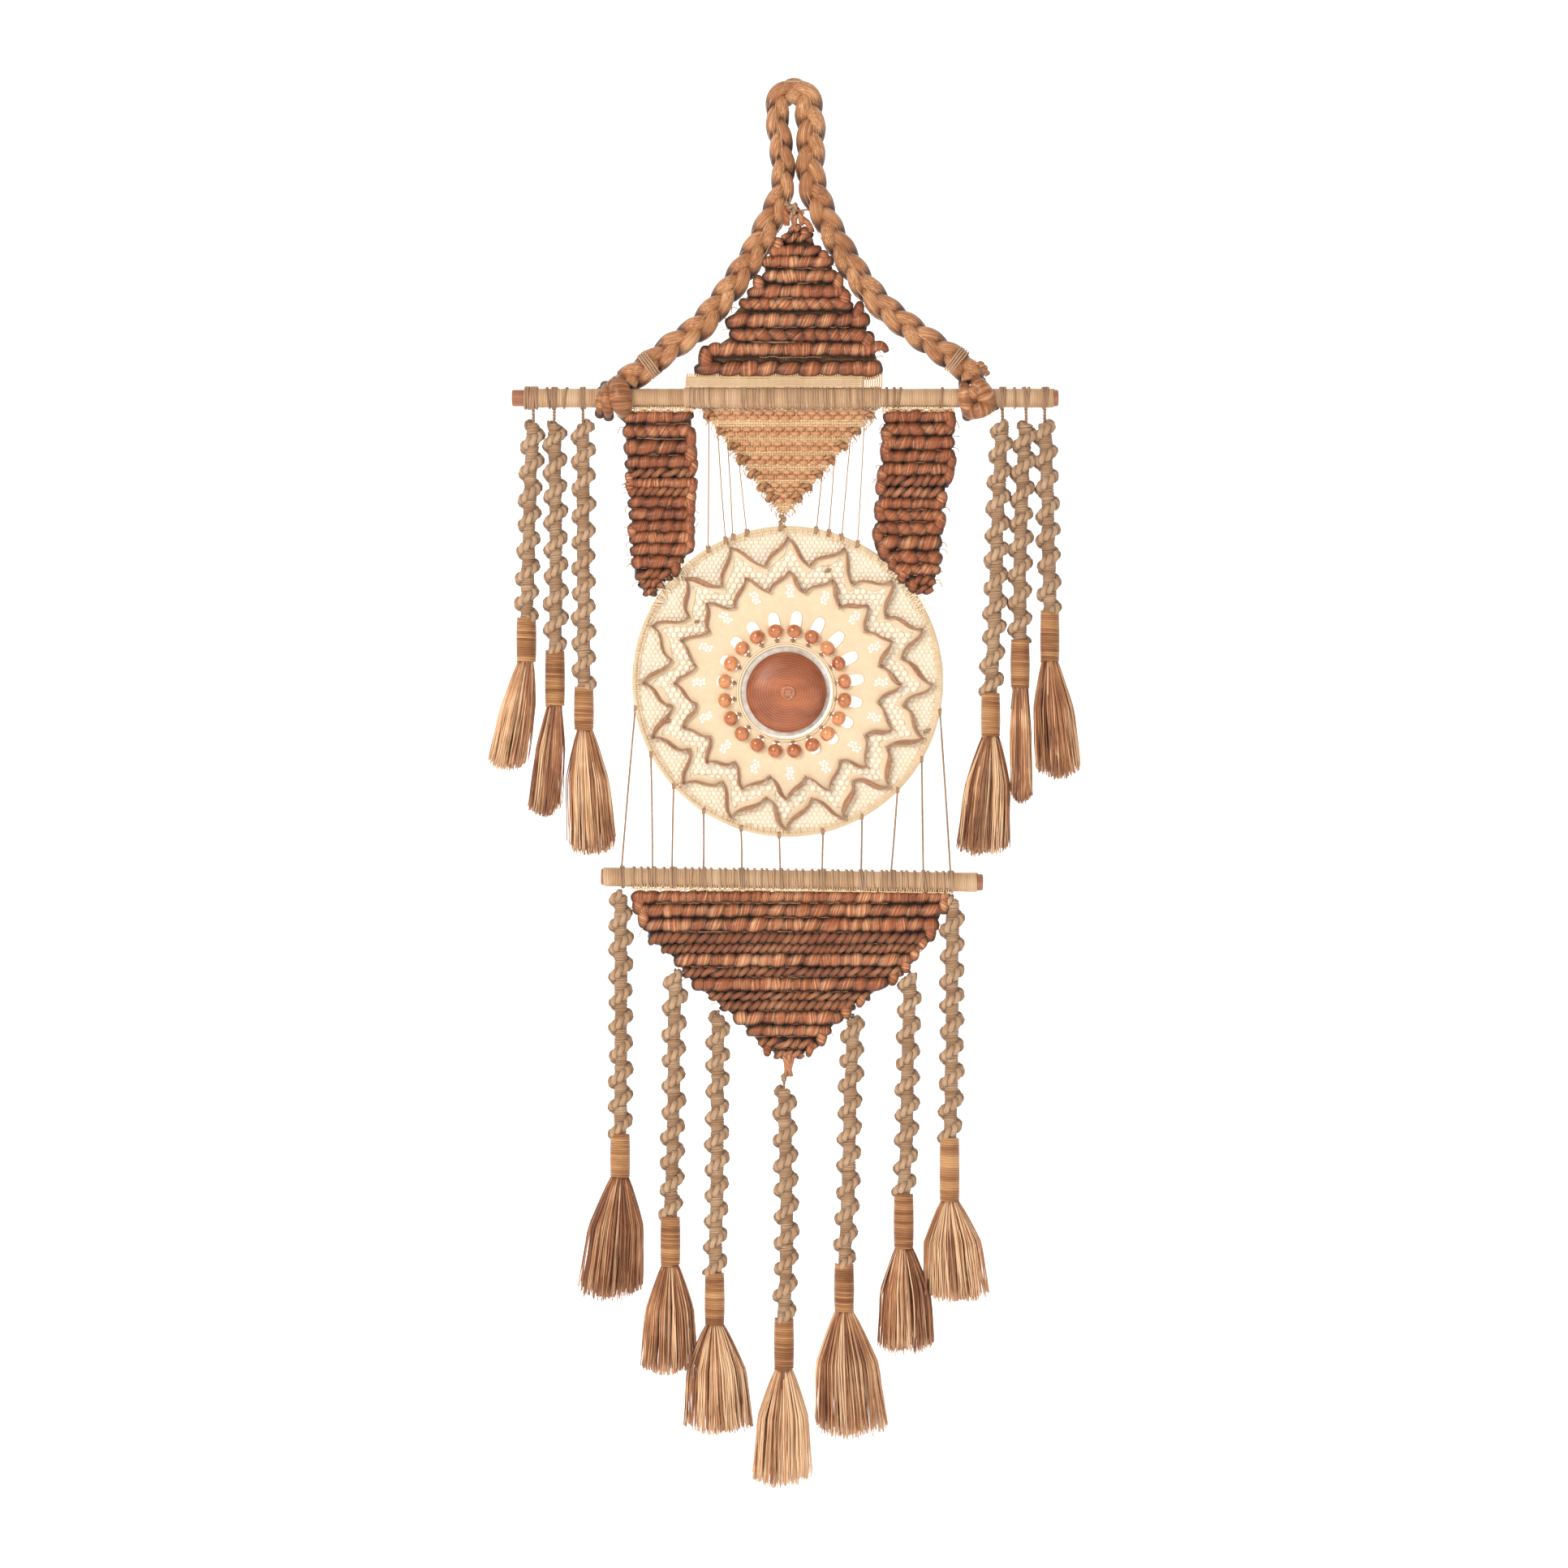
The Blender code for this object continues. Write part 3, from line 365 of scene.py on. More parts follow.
# ---------------------------------------------------------------- finishes
def linear(hex_colour):
    """A display colour, as rrggbb, turned into the linear numbers that materials use."""
    values = [int(hex_colour[i:i + 2], 16) / 255 for i in (0, 2, 4)]
    return tuple([v / 12.92 if v <= 0.04045 else ((v + 0.055) / 1.055) ** 2.4 for v in values] + [1.0])


class Wiring:
    """A short way to add and join nodes in a material or a node group."""

    def __init__(self, tree):
        self.tree = tree

    def add(self, kind, inputs=None, **settings):
        node = self.tree.nodes.new(kind)
        for key, value in settings.items():
            setattr(node, key, value)
        for key, value in (inputs or {}).items():
            socket = node.inputs[key]
            if isinstance(value, bpy.types.NodeSocket):
                self.tree.links.new(value, socket)
            else:
                socket.default_value = value
        return node

    def math(self, operation, a, b=0.0, clamp=False):
        return self.add("ShaderNodeMath", {0: a, 1: b}, operation=operation, use_clamp=clamp).outputs[0]

    def mix(self, factor, a, b):
        node = self.add("ShaderNodeMix", {0: factor, 6: a, 7: b}, data_type="RGBA")
        return node.outputs[2]

    def noise(self, vector, scale, detail=2.0, roughness=0.5):
        node = self.add("ShaderNodeTexNoise", {"Vector": vector, "Scale": scale, "Detail": detail,
                                               "Roughness": roughness})
        return node.outputs["Fac"]


def make_group(name, inputs, outputs):
    """An empty node group with its sockets, and the wiring for it."""
    group = bpy.data.node_groups.new(name, "ShaderNodeTree")
    for label, kind, default in inputs:
        socket = group.interface.new_socket(label, in_out="INPUT", socket_type=kind)
        socket.default_value = default
    for label, kind in outputs:
        group.interface.new_socket(label, in_out="OUTPUT", socket_type=kind)
    w = Wiring(group)
    return group, w, w.add("NodeGroupInput").outputs, w.add("NodeGroupOutput").inputs


COLOUR, NUMBER = "NodeSocketColor", "NodeSocketFloat"


def spun_fibre_group():
    """Fibres that run along a strand: streaks of light and dark, plies, paler and darker strands, and painted shade in
    hollows, in ply grooves and on surfaces set back from the front.
    """
    group, w, given, out = make_group(
        "spun_fibre",
        [("Dark", COLOUR, linear("8f5a33")), ("Mid", COLOUR, linear("b5804e")), ("Light", COLOUR, linear("d4a06a")),
         ("Painted Shade Colour", COLOUR, linear("4a2614")), ("Across", NUMBER, 3.0), ("Along", NUMBER, 0.12),
         ("Contrast", NUMBER, 1.2), ("Spread", NUMBER, 0.6), ("Plies", NUMBER, 0.0), ("Ply Pitch", NUMBER, 3.0),
         ("Patch", NUMBER, 0.5), ("Twist", NUMBER, 0.0), ("Inner", NUMBER, 0.0), ("Outer", NUMBER, 0.005),
         ("Depth", NUMBER, 0.0)],
        [("Colour", COLOUR), ("Height", NUMBER)])
    uv = w.add("ShaderNodeSeparateXYZ", {0: w.add("ShaderNodeUVMap", uv_map="UVMap").outputs[0]}).outputs
    tone = w.add("ShaderNodeAttribute", attribute_name="tone").outputs["Fac"]
    # the per-point painted shade, which darkens the colour towards the shade colour
    shade = w.add("ShaderNodeAttribute", attribute_name="shade").outputs["Fac"]
    angle = w.math("ADD", w.math("MULTIPLY", uv[0], TAU), w.math("MULTIPLY", uv[1], given["Twist"]))
    round_x = w.math("MULTIPLY", w.math("COSINE", angle), given["Across"])
    round_y = w.math("MULTIPLY", w.math("SINE", angle), given["Across"])
    run = w.math("ADD", w.math("MULTIPLY", uv[1], given["Along"]), w.math("MULTIPLY", tone, 61.0))
    place = w.add("ShaderNodeCombineXYZ", {0: round_x, 1: round_y, 2: run}).outputs[0]
    streak = w.noise(place, 1.0, 4.0, 0.62)
    spot = w.add("ShaderNodeTexCoord").outputs["Object"]
    patch = w.noise(spot, 55.0, 2.0, 0.5)
    # painted shade: surfaces set back from the front of the piece are darkened, between Inner and Outer; surfaces on
    # the back are left alone
    deep = w.math("MULTIPLY", w.add("ShaderNodeSeparateXYZ", {0: spot}).outputs[1], -1.0)
    front = w.add("ShaderNodeMapRange", {0: deep, 1: given["Inner"], 2: given["Outer"]}).outputs[0]
    behind = w.add("ShaderNodeMapRange", {0: deep, 1: 0.0, 2: -0.003}).outputs[0]
    outer = w.math("MAXIMUM", front, behind)
    shade = w.math("MULTIPLY", shade, w.math("SUBTRACT", 1.0, w.math("MULTIPLY", w.math("SUBTRACT", 1.0, outer),
                                                                    given["Depth"])))
    turn = w.math("ADD", angle, w.math("DIVIDE", w.math("MULTIPLY", uv[1], TAU), given["Ply Pitch"]))
    ply = w.math("MULTIPLY_ADD", w.math("COSINE", w.math("MULTIPLY", turn, 2.0)), 0.5)
    ply.node.inputs[2].default_value = 0.5
    value = w.math("MULTIPLY_ADD", w.math("SUBTRACT", streak, 0.5), given["Contrast"])
    value.node.inputs[2].default_value = 0.5
    value = w.math("ADD", value, w.math("MULTIPLY", w.math("SUBTRACT", tone, 0.5), given["Spread"]))
    value = w.math("ADD", value, w.math("MULTIPLY", w.math("SUBTRACT", patch, 0.5), given["Patch"]))
    # painted shade in the grooves between the plies
    value = w.math("SUBTRACT", value, w.math("MULTIPLY", w.math("MULTIPLY", w.math("SUBTRACT", 1.0, ply),
                                                                given["Plies"]), 0.45))
    low = w.add("ShaderNodeMapRange", {0: value, 1: 0.0, 2: 0.5}).outputs[0]
    high = w.add("ShaderNodeMapRange", {0: value, 1: 0.5, 2: 1.0}).outputs[0]
    colour = w.mix(high, w.mix(low, given["Dark"], given["Mid"]), given["Light"])
    # painted shade: the colour is mixed towards the dark shade colour where the shade value is low
    colour = w.mix(w.math("MINIMUM", w.math("MAXIMUM", shade, 0.0), 1.0), given["Painted Shade Colour"], colour)
    w.tree.links.new(colour, out["Colour"])
    height = w.math("ADD", streak, w.math("MULTIPLY", ply, w.math("MULTIPLY", given["Plies"], 1.5)))
    w.tree.links.new(height, out["Height"])
    return group


def fine_weave_group():
    """A plain cloth weave on the flat: threads over and under each other, and slubs of paler and darker yarn."""
    group, w, given, out = make_group(
        "fine_weave",
        [("Threads", NUMBER, 900.0), ("Slub", NUMBER, 0.5), ("Dark", COLOUR, linear("c9a882")),
         ("Light", COLOUR, linear("f5ddba"))],
        [("Colour", COLOUR), ("Height", NUMBER)])
    spot = w.add("ShaderNodeTexCoord").outputs["Object"]
    axes = w.add("ShaderNodeSeparateXYZ", {0: spot}).outputs
    across = w.math("MULTIPLY", w.math("MULTIPLY", axes[0], given["Threads"]), math.pi)
    up = w.math("MULTIPLY", w.math("MULTIPLY", axes[2], given["Threads"]), math.pi)
    sx, sz = w.math("SINE", across), w.math("SINE", up)
    over = w.math("GREATER_THAN", w.math("MULTIPLY", sx, sz), 0.0)
    warp, weft = w.math("ABSOLUTE", sx), w.math("ABSOLUTE", sz)
    height = w.math("ADD", w.math("MULTIPLY", over, warp), w.math("MULTIPLY", w.math("SUBTRACT", 1.0, over), weft))
    slub = w.noise(spot, 140.0, 3.0, 0.6)
    value = w.math("ADD", w.math("MULTIPLY", height, 0.5), w.math("MULTIPLY", slub, given["Slub"]), clamp=True)
    w.tree.links.new(w.mix(value, given["Dark"], given["Light"]), out["Colour"])
    w.tree.links.new(height, out["Height"])
    return group


def wood_grain_group():
    """Grain of turned wood: long streaks one way, growth rings and small dark pores, and a painted highlight that makes
    the wood paler towards a centre.
    """
    group, w, given, out = make_group(
        "wood_grain",
        [("Stretch X", NUMBER, 1.0), ("Stretch Z", NUMBER, 1.0), ("Scale", NUMBER, 90.0), ("Centre X", NUMBER, 0.0),
         ("Centre Z", NUMBER, 0.0), ("Rings", NUMBER, 0.0),
         ("Dark", COLOUR, linear("8a4527")), ("Light", COLOUR, linear("c2714a"))],
        [("Colour", COLOUR), ("Height", NUMBER)])
    spot = w.add("ShaderNodeTexCoord").outputs["Object"]
    axes = w.add("ShaderNodeSeparateXYZ", {0: spot}).outputs
    place = w.add("ShaderNodeCombineXYZ", {0: w.math("MULTIPLY", axes[0], given["Stretch X"]), 1: axes[1],
                                           2: w.math("MULTIPLY", axes[2], given["Stretch Z"])}).outputs[0]
    grain = w.noise(place, given["Scale"], 5.0, 0.65)
    tone = w.add("ShaderNodeAttribute", attribute_name="tone").outputs["Fac"]
    # rings left by the turning tool about a centre, and a painted highlight that makes the wood paler towards it
    across = w.math("SUBTRACT", axes[0], given["Centre X"])
    up = w.math("SUBTRACT", axes[2], given["Centre Z"])
    away = w.math("SQRT", w.math("ADD", w.math("MULTIPLY", across, across), w.math("MULTIPLY", up, up)))
    ring = w.math("MULTIPLY", w.math("SINE", w.math("MULTIPLY", away, 3100.0)), 0.09)
    turned = w.math("ADD", ring, w.math("MULTIPLY", w.math("SUBTRACT", 0.015, away), 8.0))
    grained = w.math("ADD", grain, w.math("ADD", w.math("MULTIPLY", tone, 0.35), w.math("MULTIPLY", turned,
                                                                                      given["Rings"])))
    value = w.add("ShaderNodeMapRange", {0: grained, 1: 0.32, 2: 0.95})
    w.tree.links.new(w.mix(value.outputs[0], given["Dark"], given["Light"]), out["Colour"])
    w.tree.links.new(grain, out["Height"])
    return group


class Finishes:
    """Every material of the object, made once."""

    def __init__(self):
        self.spun, self.weave, self.grain = spun_fibre_group(), fine_weave_group(), wood_grain_group()
        self.made = {}

    def start(self, name, group, values, bump, **shader_values):
        material = bpy.data.materials.new(name)
        material.use_nodes = True
        w = Wiring(material.node_tree)
        shader = material.node_tree.nodes["Principled BSDF"]
        for key, value in shader_values.items():
            shader.inputs[key.replace("_", " ")].default_value = value
        node = w.add("ShaderNodeGroup", node_tree=group)
        for key, value in values.items():
            node.inputs[key].default_value = value
        w.tree.links.new(node.outputs["Colour"], shader.inputs["Base Color"])
        if bump:
            raised = w.add("ShaderNodeBump", {"Height": node.outputs["Height"], "Distance": bump, "Strength": 0.8})
            w.tree.links.new(raised.outputs[0], shader.inputs["Normal"])
        self.made[name] = material
        return material

    def fibre(self, name, dark, mid, light, painted_shade_colour, across=3.0, run=0.12, contrast=1.2, spread=0.6, plies=0.0,
              pitch=3.0, patch=0.5, bump=0.0004, roughness=0.6, sheen=0.25, twist=0.0, depth=0.0, inner=0.0,
              outer=0.005):
        # the fourth colour and the depth darkening are painted shade
        values = {"Dark": linear(dark), "Mid": linear(mid), "Light": linear(light), "Painted Shade Colour": linear(painted_shade_colour),
                  "Across": across, "Along": run, "Contrast": contrast, "Spread": spread, "Plies": plies,
                  "Ply Pitch": pitch, "Patch": patch, "Twist": twist, "Depth": depth, "Inner": inner,
                  "Outer": outer}
        return self.start(name, self.spun, values, bump, Roughness=roughness, Sheen_Weight=sheen,
                          Sheen_Roughness=0.4, Specular_IOR_Level=0.35)


finishes = None


def make_finishes():
    global finishes
    f = finishes = Finishes()
    # the fourth colour of each fibre is its painted shade colour; depth, inner and outer set the painted shade on parts
    # set back from the front
    f.fibre("silky_sisal", "6f3b1e", "ad7246", "f0c08e", "38180b", across=2.6, run=0.05, contrast=1.9, spread=0.25,
            bump=0.0007, roughness=0.36, sheen=0.25, twist=0.03, depth=0.6, inner=0.0015, outer=0.0065)
    f.fibre("coil_sisal", "56230e", "a25a33", "fac490", "180703", across=2.4, run=0.05, contrast=1.5, spread=0.35,
            bump=0.0006, roughness=0.34, sheen=0.2, twist=0.3, depth=0.95, inner=0.0035, outer=0.0070)
    f.fibre("wound_thread", "a98059", "c7a07a", "dfc29e", "7c5536", across=1.2, run=0.3, contrast=0.9, spread=0.6,
            patch=0.6, bump=0.0001, roughness=0.7)
    f.fibre("tan_thread", "a87a54", "cb9f7a", "e8c9a4", "6a4028", across=1.0, run=0.3, contrast=1.0, spread=0.7,
            plies=0.5, pitch=3.5, bump=0.0002, roughness=0.75)
    f.fibre("weft_thread", "b98f60", "d6b083", "efd5ac", "8f6436", across=1.0, run=0.4, contrast=1.0, spread=0.5,
            bump=0.0001, roughness=0.75)
    f.fibre("rose_thread", "a96f47", "c98e63", "e0b288", "6a3d20", across=1.4, run=0.25, contrast=1.2, spread=0.5,
            bump=0.0002, roughness=0.6)
    f.fibre("jute", "a77a52", "d3a880", "efd0a8", "6a4426", across=1.6, run=0.1, contrast=1.7, spread=0.7,
            plies=0.2, pitch=6.0, bump=0.0004, roughness=0.8, sheen=0.3, twist=0.12, depth=0.5, inner=0.001,
            outer=0.0055)
    f.fibre("binding_thread", "7d4a26", "a87346", "cd9b68", "4a2511", across=1.2, run=0.3, contrast=1.1, spread=0.9,
            bump=0.0002, roughness=0.55)
    f.fibre("loose_sisal", "865030", "c28659", "f2ca9e", "643822", across=0.8, run=0.03, contrast=0.9, spread=1.4,
            patch=0.9, bump=0.0001, roughness=0.5, sheen=0.3)
    f.fibre("lace_thread", "dcbf98", "ecd4b0", "f8e6ca", "b08c60", across=1.0, run=0.4, contrast=0.8, spread=0.4,
            bump=0.0001, roughness=0.8)
    f.fibre("dark_thread", "7d5230", "a97c55", "d2ab83", "4a2c18", across=1.0, run=0.4, bump=0.0001, roughness=0.6)
    f.start("lace_cloth", f.weave, {"Threads": 1100.0, "Slub": 0.55, "Dark": linear("d9b98e"),
                                    "Light": linear("f6dfbe")}, 0.0002, Roughness=0.85, Sheen_Weight=0.2)
    f.start("net_ground", f.weave, {"Threads": 900.0, "Slub": 0.4, "Dark": linear("f6e6cb"),
                                    "Light": linear("fff8ea")}, 0.0001, Roughness=0.9)
    f.start("backing_cloth", f.weave, {"Threads": 450.0, "Slub": 0.6, "Dark": linear("40200f"),
                                       "Light": linear("8a5f38")}, 0.0004, Roughness=0.85, Sheen_Weight=0.2)
    f.start("lining_cloth", f.weave, {"Threads": 500.0, "Slub": 0.5, "Dark": linear("a87f50"),
                                      "Light": linear("d2ad7c")}, 0.0003, Roughness=0.85, Sheen_Weight=0.2)
    f.start("ribbon", f.grain, {"Scale": 400.0, "Dark": linear("8f5a35"), "Light": linear("cc9a6c")}, 0.0001,
            Roughness=0.5, Sheen_Weight=0.3)
    f.start("dowel_wood", f.grain, {"Stretch X": 0.08, "Scale": 260.0, "Dark": linear("8a5138"),
                                    "Light": linear("c08a68")}, 0.0002, Roughness=0.55)
    # the boss is painted paler towards its middle, a painted highlight, over its turning rings
    f.start("turned_wood", f.grain, {"Stretch X": 0.35, "Scale": 60.0, "Centre X": BOSS_X * MM,
                                     "Centre Z": BOSS_Z * MM, "Rings": 1.0, "Dark": linear("6b3016"),
                                     "Light": linear("bd6f45")}, 0.0002, Roughness=0.5, Coat_Weight=0.1,
            Coat_Roughness=0.3)
    f.start("waxed_nub", f.grain, {"Scale": 300.0, "Dark": linear("6b3016"), "Light": linear("c87e56")}, 0.0002,
            Roughness=0.22, Coat_Weight=0.8, Coat_Roughness=0.12)
    f.start("bead_wood", f.grain, {"Stretch Z": 0.4, "Scale": 220.0, "Dark": linear("9c4c26"),
                                   "Light": linear("eba066")}, 0.0001, Roughness=0.24, Coat_Weight=0.6,
            Coat_Roughness=0.15)
    f.start("clear_ring", f.grain, {"Scale": 140.0, "Dark": linear("b7a896"), "Light": linear("fbf6ee")}, 0.0,
            Roughness=0.18, Coat_Weight=0.6, Coat_Roughness=0.1)


# ---------------------------------------------------------------- sizes and colours that a user would change
class CatcherSizes(bpy.types.PropertyGroup):
    """Sizes of the yarns and of the work done with them, in millimetres."""

    braid_period: FloatProperty(name="Braid Period", description="Length of one full turn of a braid strand, in mm",
                                default=60.0, min=30.0, max=120.0)
    coil_pitch: FloatProperty(name="Coil Lay", description="Length of one twist of the thick coils, in mm",
                              default=21.0, min=8.0, max=60.0)
    weave_spacing: FloatProperty(name="Weave Spacing", description="Distance between threads of the cloth, in mm",
                                 default=2.0, min=1.0, max=6.0)
    net_cell: FloatProperty(name="Net Cell", description="Width of a cell of the fine net, in mm",
                            default=3.6, min=1.5, max=6.0)
    sinnet_pitch: FloatProperty(name="Sinnet Pitch", description="Height of one turn of a knotted cord, in mm",
                                default=20.0, min=10.0, max=60.0)
    tassel_strands: IntProperty(name="Tassel Strands", description="Strands in one tassel", default=460, min=40,
                                max=900)


class CatcherColours(bpy.types.PropertyGroup):
    """Colours of the room that the dream catcher is shown in."""

    backdrop: FloatVectorProperty(name="Backdrop", description="Colour of the wall and the floor", subtype="COLOR",
                                  size=4, default=(0.95, 0.95, 0.95, 1.0), min=0.0, max=1.0)
    light: FloatVectorProperty(name="Light", description="Colour of the soft lights", subtype="COLOR", size=3,
                               default=(1.0, 0.985, 0.965), min=0.0, max=1.0)


def sizes():
    return bpy.context.scene.catcher_sizes


def m3(x, y, z):
    """A place in millimetres, turned into metres."""
    return (x * MM, y * MM, z * MM)


def smooth_loop(points, step):
    """A smooth closed path through the points, evenly spaced, without its first point again at the end."""
    pts = [Vector(p) for p in points]
    n = len(pts)
    fine = []
    for i in range(n):
        a, b, c, d = pts[i - 1], pts[i], pts[(i + 1) % n], pts[(i + 2) % n]
        for k in range(10):
            t = k / 10
            fine.append(0.5 * (2 * b + (c - a) * t + (2 * a - 5 * b + 4 * c - d) * t * t
                               + (3 * b - a - 3 * c + d) * t ** 3))
    return even(fine + [pts[0]], step)[:-1]


# ---------------------------------------------------------------- braid and knots
def braid_path():
    """The braid's middle line, from the left knot up, over the top and down to the right knot."""
    left = [(xl, 0, z) for xl, _, z in LEG] + [(-113.4, 0, -205), (-128, 0, -216.5)]
    right = [(xr, 0, z) for _, xr, z in LEG] + [(130.6, 0, -204), (137.5, 0, -214.5)]
    # the legs' lines run inside the bend, so the top is rounded over three points
    return left[::-1] + [(x, 0, z - 0.6) for x, z in OVER_THE_TOP] + right


def build_braid():
    rng = random.Random(3)
    centre = smooth_path(braid_path(), 1.6)
    s = along(centre)
    top = s[int(np.argmax(centre[:, 2]))]
    side, back = side_frame(centre)
    period = sizes().braid_period
    away = np.sqrt((s - top) ** 2 + 3.0 ** 2)
    # the right leg is plaited a little flatter and wider than the left near the top
    high = np.clip((centre[:, 2] + 100) / 30, 0, 1)
    wide = 1.0 + np.where(s < top, -0.11, 0.07) * high * np.clip(np.abs(s - top) / 20, 0, 1)
    lines = []
    for k in range(3):
        a = TAU * away / period + TAU * k / 3 + 0.9
        swing, depth = np.sin(a), np.sin(2 * a)
        wander = slow_noise(rng, len(s), 30) * 0.4
        points = centre + side * ((5.2 * swing + wander) * wide)[:, None] - back * (3.5 * depth)[:, None]
        radius = (5.0 + 0.75 * np.abs(swing) + slow_noise(rng, len(s), 40) * 0.25) * wide
        # painted shade: a strand is darker where it passes behind the others and lighter at the outer edges of the
        # braid
        shade = np.clip(0.02 + 0.98 * (0.5 + 0.6 * depth) + 0.14 * np.abs(swing), 0, 1) ** 1.1
        # less painted shade at the crown of the loop, which is open to the light
        shade = np.maximum(shade, 1.9 * np.exp(-((s - top) / 8.0) ** 2))
        lines.append(line(points, radius, tilt=-a * 0.35, shade=shade,
                          tone=0.5 + slow_noise(rng, len(s), 24) * 0.3))
    braid = strands("braid", lines, finishes.made["silky_sisal"], sides=16)
    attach(braid, "hanger")
    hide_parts("hanging_braid")

    extras, fine = [], []
    flyaway = random.Random(5)
    for _ in range(70):
        i = flyaway.randrange(6, len(s) - 26)
        a = flyaway.uniform(0, TAU)
        hop = centre[i:i + 22:4]
        bow = np.sin(np.linspace(0, math.pi, len(hop)))
        points = hop + side[i:i + 22:4] * (9.3 * math.cos(a) + 1.3 * bow)[:, None] \
            - back[i:i + 22:4] * (7.2 * abs(math.sin(a)) + 1.0 * bow)[:, None]
        fine.append(line(smooth_path(points, 2.5), 0.16, tone=flyaway.uniform(0.4, 0.9)))
    hairs = strands("braid_loose_fibres", fine, finishes.made["loose_sisal"], sides=4)
    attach(hairs, "hanger")

    # thin pale thread bound round each leg just above its knot, and the tie where the legs meet
    for index, turns in ((14, 4), (len(s) - 12, 4)):
        part = centre[index - 3:index + 3]
        extras.append(line(helix(part, 10.6, turns, 18), 0.75, tone=0.6))
    tie = np.array([(-6, -7.6, -80), (-2.5, -9, -84), (1.5, -9.3, -81), (0.5, -9.5, -87.5), (-3, -8.6, -91),
                    (3.5, -7.5, -90), (8, -5, -86)], dtype=float)
    extras += plied(smooth_path(tie, 1.0), 1.9, 7, rng, tone=0.5)
    extras.append(line(smooth_path([(-9, -6, -84), (0, -7.5, -86), (11, -4, -84.6), (12, 4, -84)], 1.0), 0.8))
    tail = smooth_path([(141, -7, -203.5), (145, -9, -204.5), (148, -8, -209), (149, -6, -212)], 0.8)
    bound = strands("braid_bindings", extras, finishes.made["tan_thread"], sides=8)
    tuft = strands("braid_tail", plied(tail, 2.4, 9, rng, tone=0.35), finishes.made["silky_sisal"], sides=8)
    for piece in (bound, tuft):
        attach(piece, "hanger")


def knot_lobe(x, z, lean, half, fat, front, tone):
    """One fat lobe of a knot, shaped like an almond. It comes over the rod, bulges at the front and goes under."""
    t = np.linspace(-1, 1, 40)
    points = np.stack([x - lean * half * t, -front * (1 - 0.75 * t * t) + 1.0, z + half * t], axis=1)
    swell = np.cos(t * math.pi / 2) ** 0.62
    # painted shade: the lobe is darker towards its ends, where it tucks under
    return line(points, fat * (0.3 + 0.7 * swell), tilt=t * 0.6, shade=0.25 + 0.65 * swell, tone=tone)


def build_knots():
    x = KNOTS["left_knot"]
    left = [
        knot_lobe(x + 4.6, ROD_Z + 0.2, 0.22, 14.6, 9.2, 9.0, tone=-0.12),
        knot_lobe(x - 6.0, ROD_Z - 2.2, 0.1, 12.4, 5.2, 8.6, tone=-0.05),
        knot_lobe(x - 10.6, ROD_Z - 3.2, -0.1, 9.0, 4.0, 7.6, tone=0.05),
        knot_lobe(x + 1.0, ROD_Z + 11.0, -1.4, 5.6, 5.4, 6.0, tone=0.3),
    ]
    x = KNOTS["right_knot"]
    right = [
        knot_lobe(x - 9.0, ROD_Z - 1.4, 0.12, 13.0, 6.0, 8.6, tone=0.05),
        knot_lobe(x + 4.4, ROD_Z + 3.4, 0.62, 11.0, 7.4, 9.6, tone=0.15),
        knot_lobe(x - 2.6, ROD_Z + 4.6, -0.6, 9.0, 5.0, 10.8, tone=0.3),
        knot_lobe(x + 2.8, ROD_Z - 9.6, -2.6, 4.2, 6.4, 8.4, tone=0.1),
    ]
    for name, lobes in (("left_knot", left), ("right_knot", right)):
        # loops close behind the rod, so each knot holds it all the way round
        backs = []
        for points, *_ in lobes:
            a, b = points[-1], points[0]
            mid = (a + b) / 2 + np.array([0, 11.5, 0])
            # painted shade on the loops that close behind the rod
            backs.append(line(smooth_path([a, (a + mid) / 2 + (0, 2.5, 0), mid, (b + mid) / 2 + (0, 2.5, 0), b], 1.5),
                              4.2, shade=0.8, tone=0.4))
        knot = strands("tied_" + name, lobes + backs, finishes.made["silky_sisal"], sides=20)
        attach(knot, "hanger")
        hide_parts(name)


# ---------------------------------------------------------------- rods
def winding(x0, x1, z_at, radius, pitch, thread, rng, bumps=0.12):
    """One long thread wound side by side round a rod."""
    turns = int((x1 - x0) / pitch)
    n = turns * 12
    a = np.linspace(0, TAU * turns, n)
    x = np.linspace(x0, x1, n)
    r = radius + slow_noise(rng, n, max(4, turns // 3)) * bumps
    z = np.array([z_at(v) for v in x])
    points = np.stack([x, -r * np.sin(a), z + r * np.cos(a)], axis=1)
    tone = 0.5 + slow_noise(rng, n, max(4, turns // 2)) * 0.4
    return line(points, thread, tone=tone)


def ring(x, z, radius, thread, lean, tone):
    """A thread tied once round a rod, with its two ends crossing at the front."""
    a = np.linspace(-0.35, TAU + 0.35, 26)
    points = np.stack([x + lean * np.cos(a) + np.linspace(-0.5, 0.5, 26), -radius * np.sin(a),
                       z + radius * np.cos(a)], axis=1)
    return line(points, thread, tone=tone)


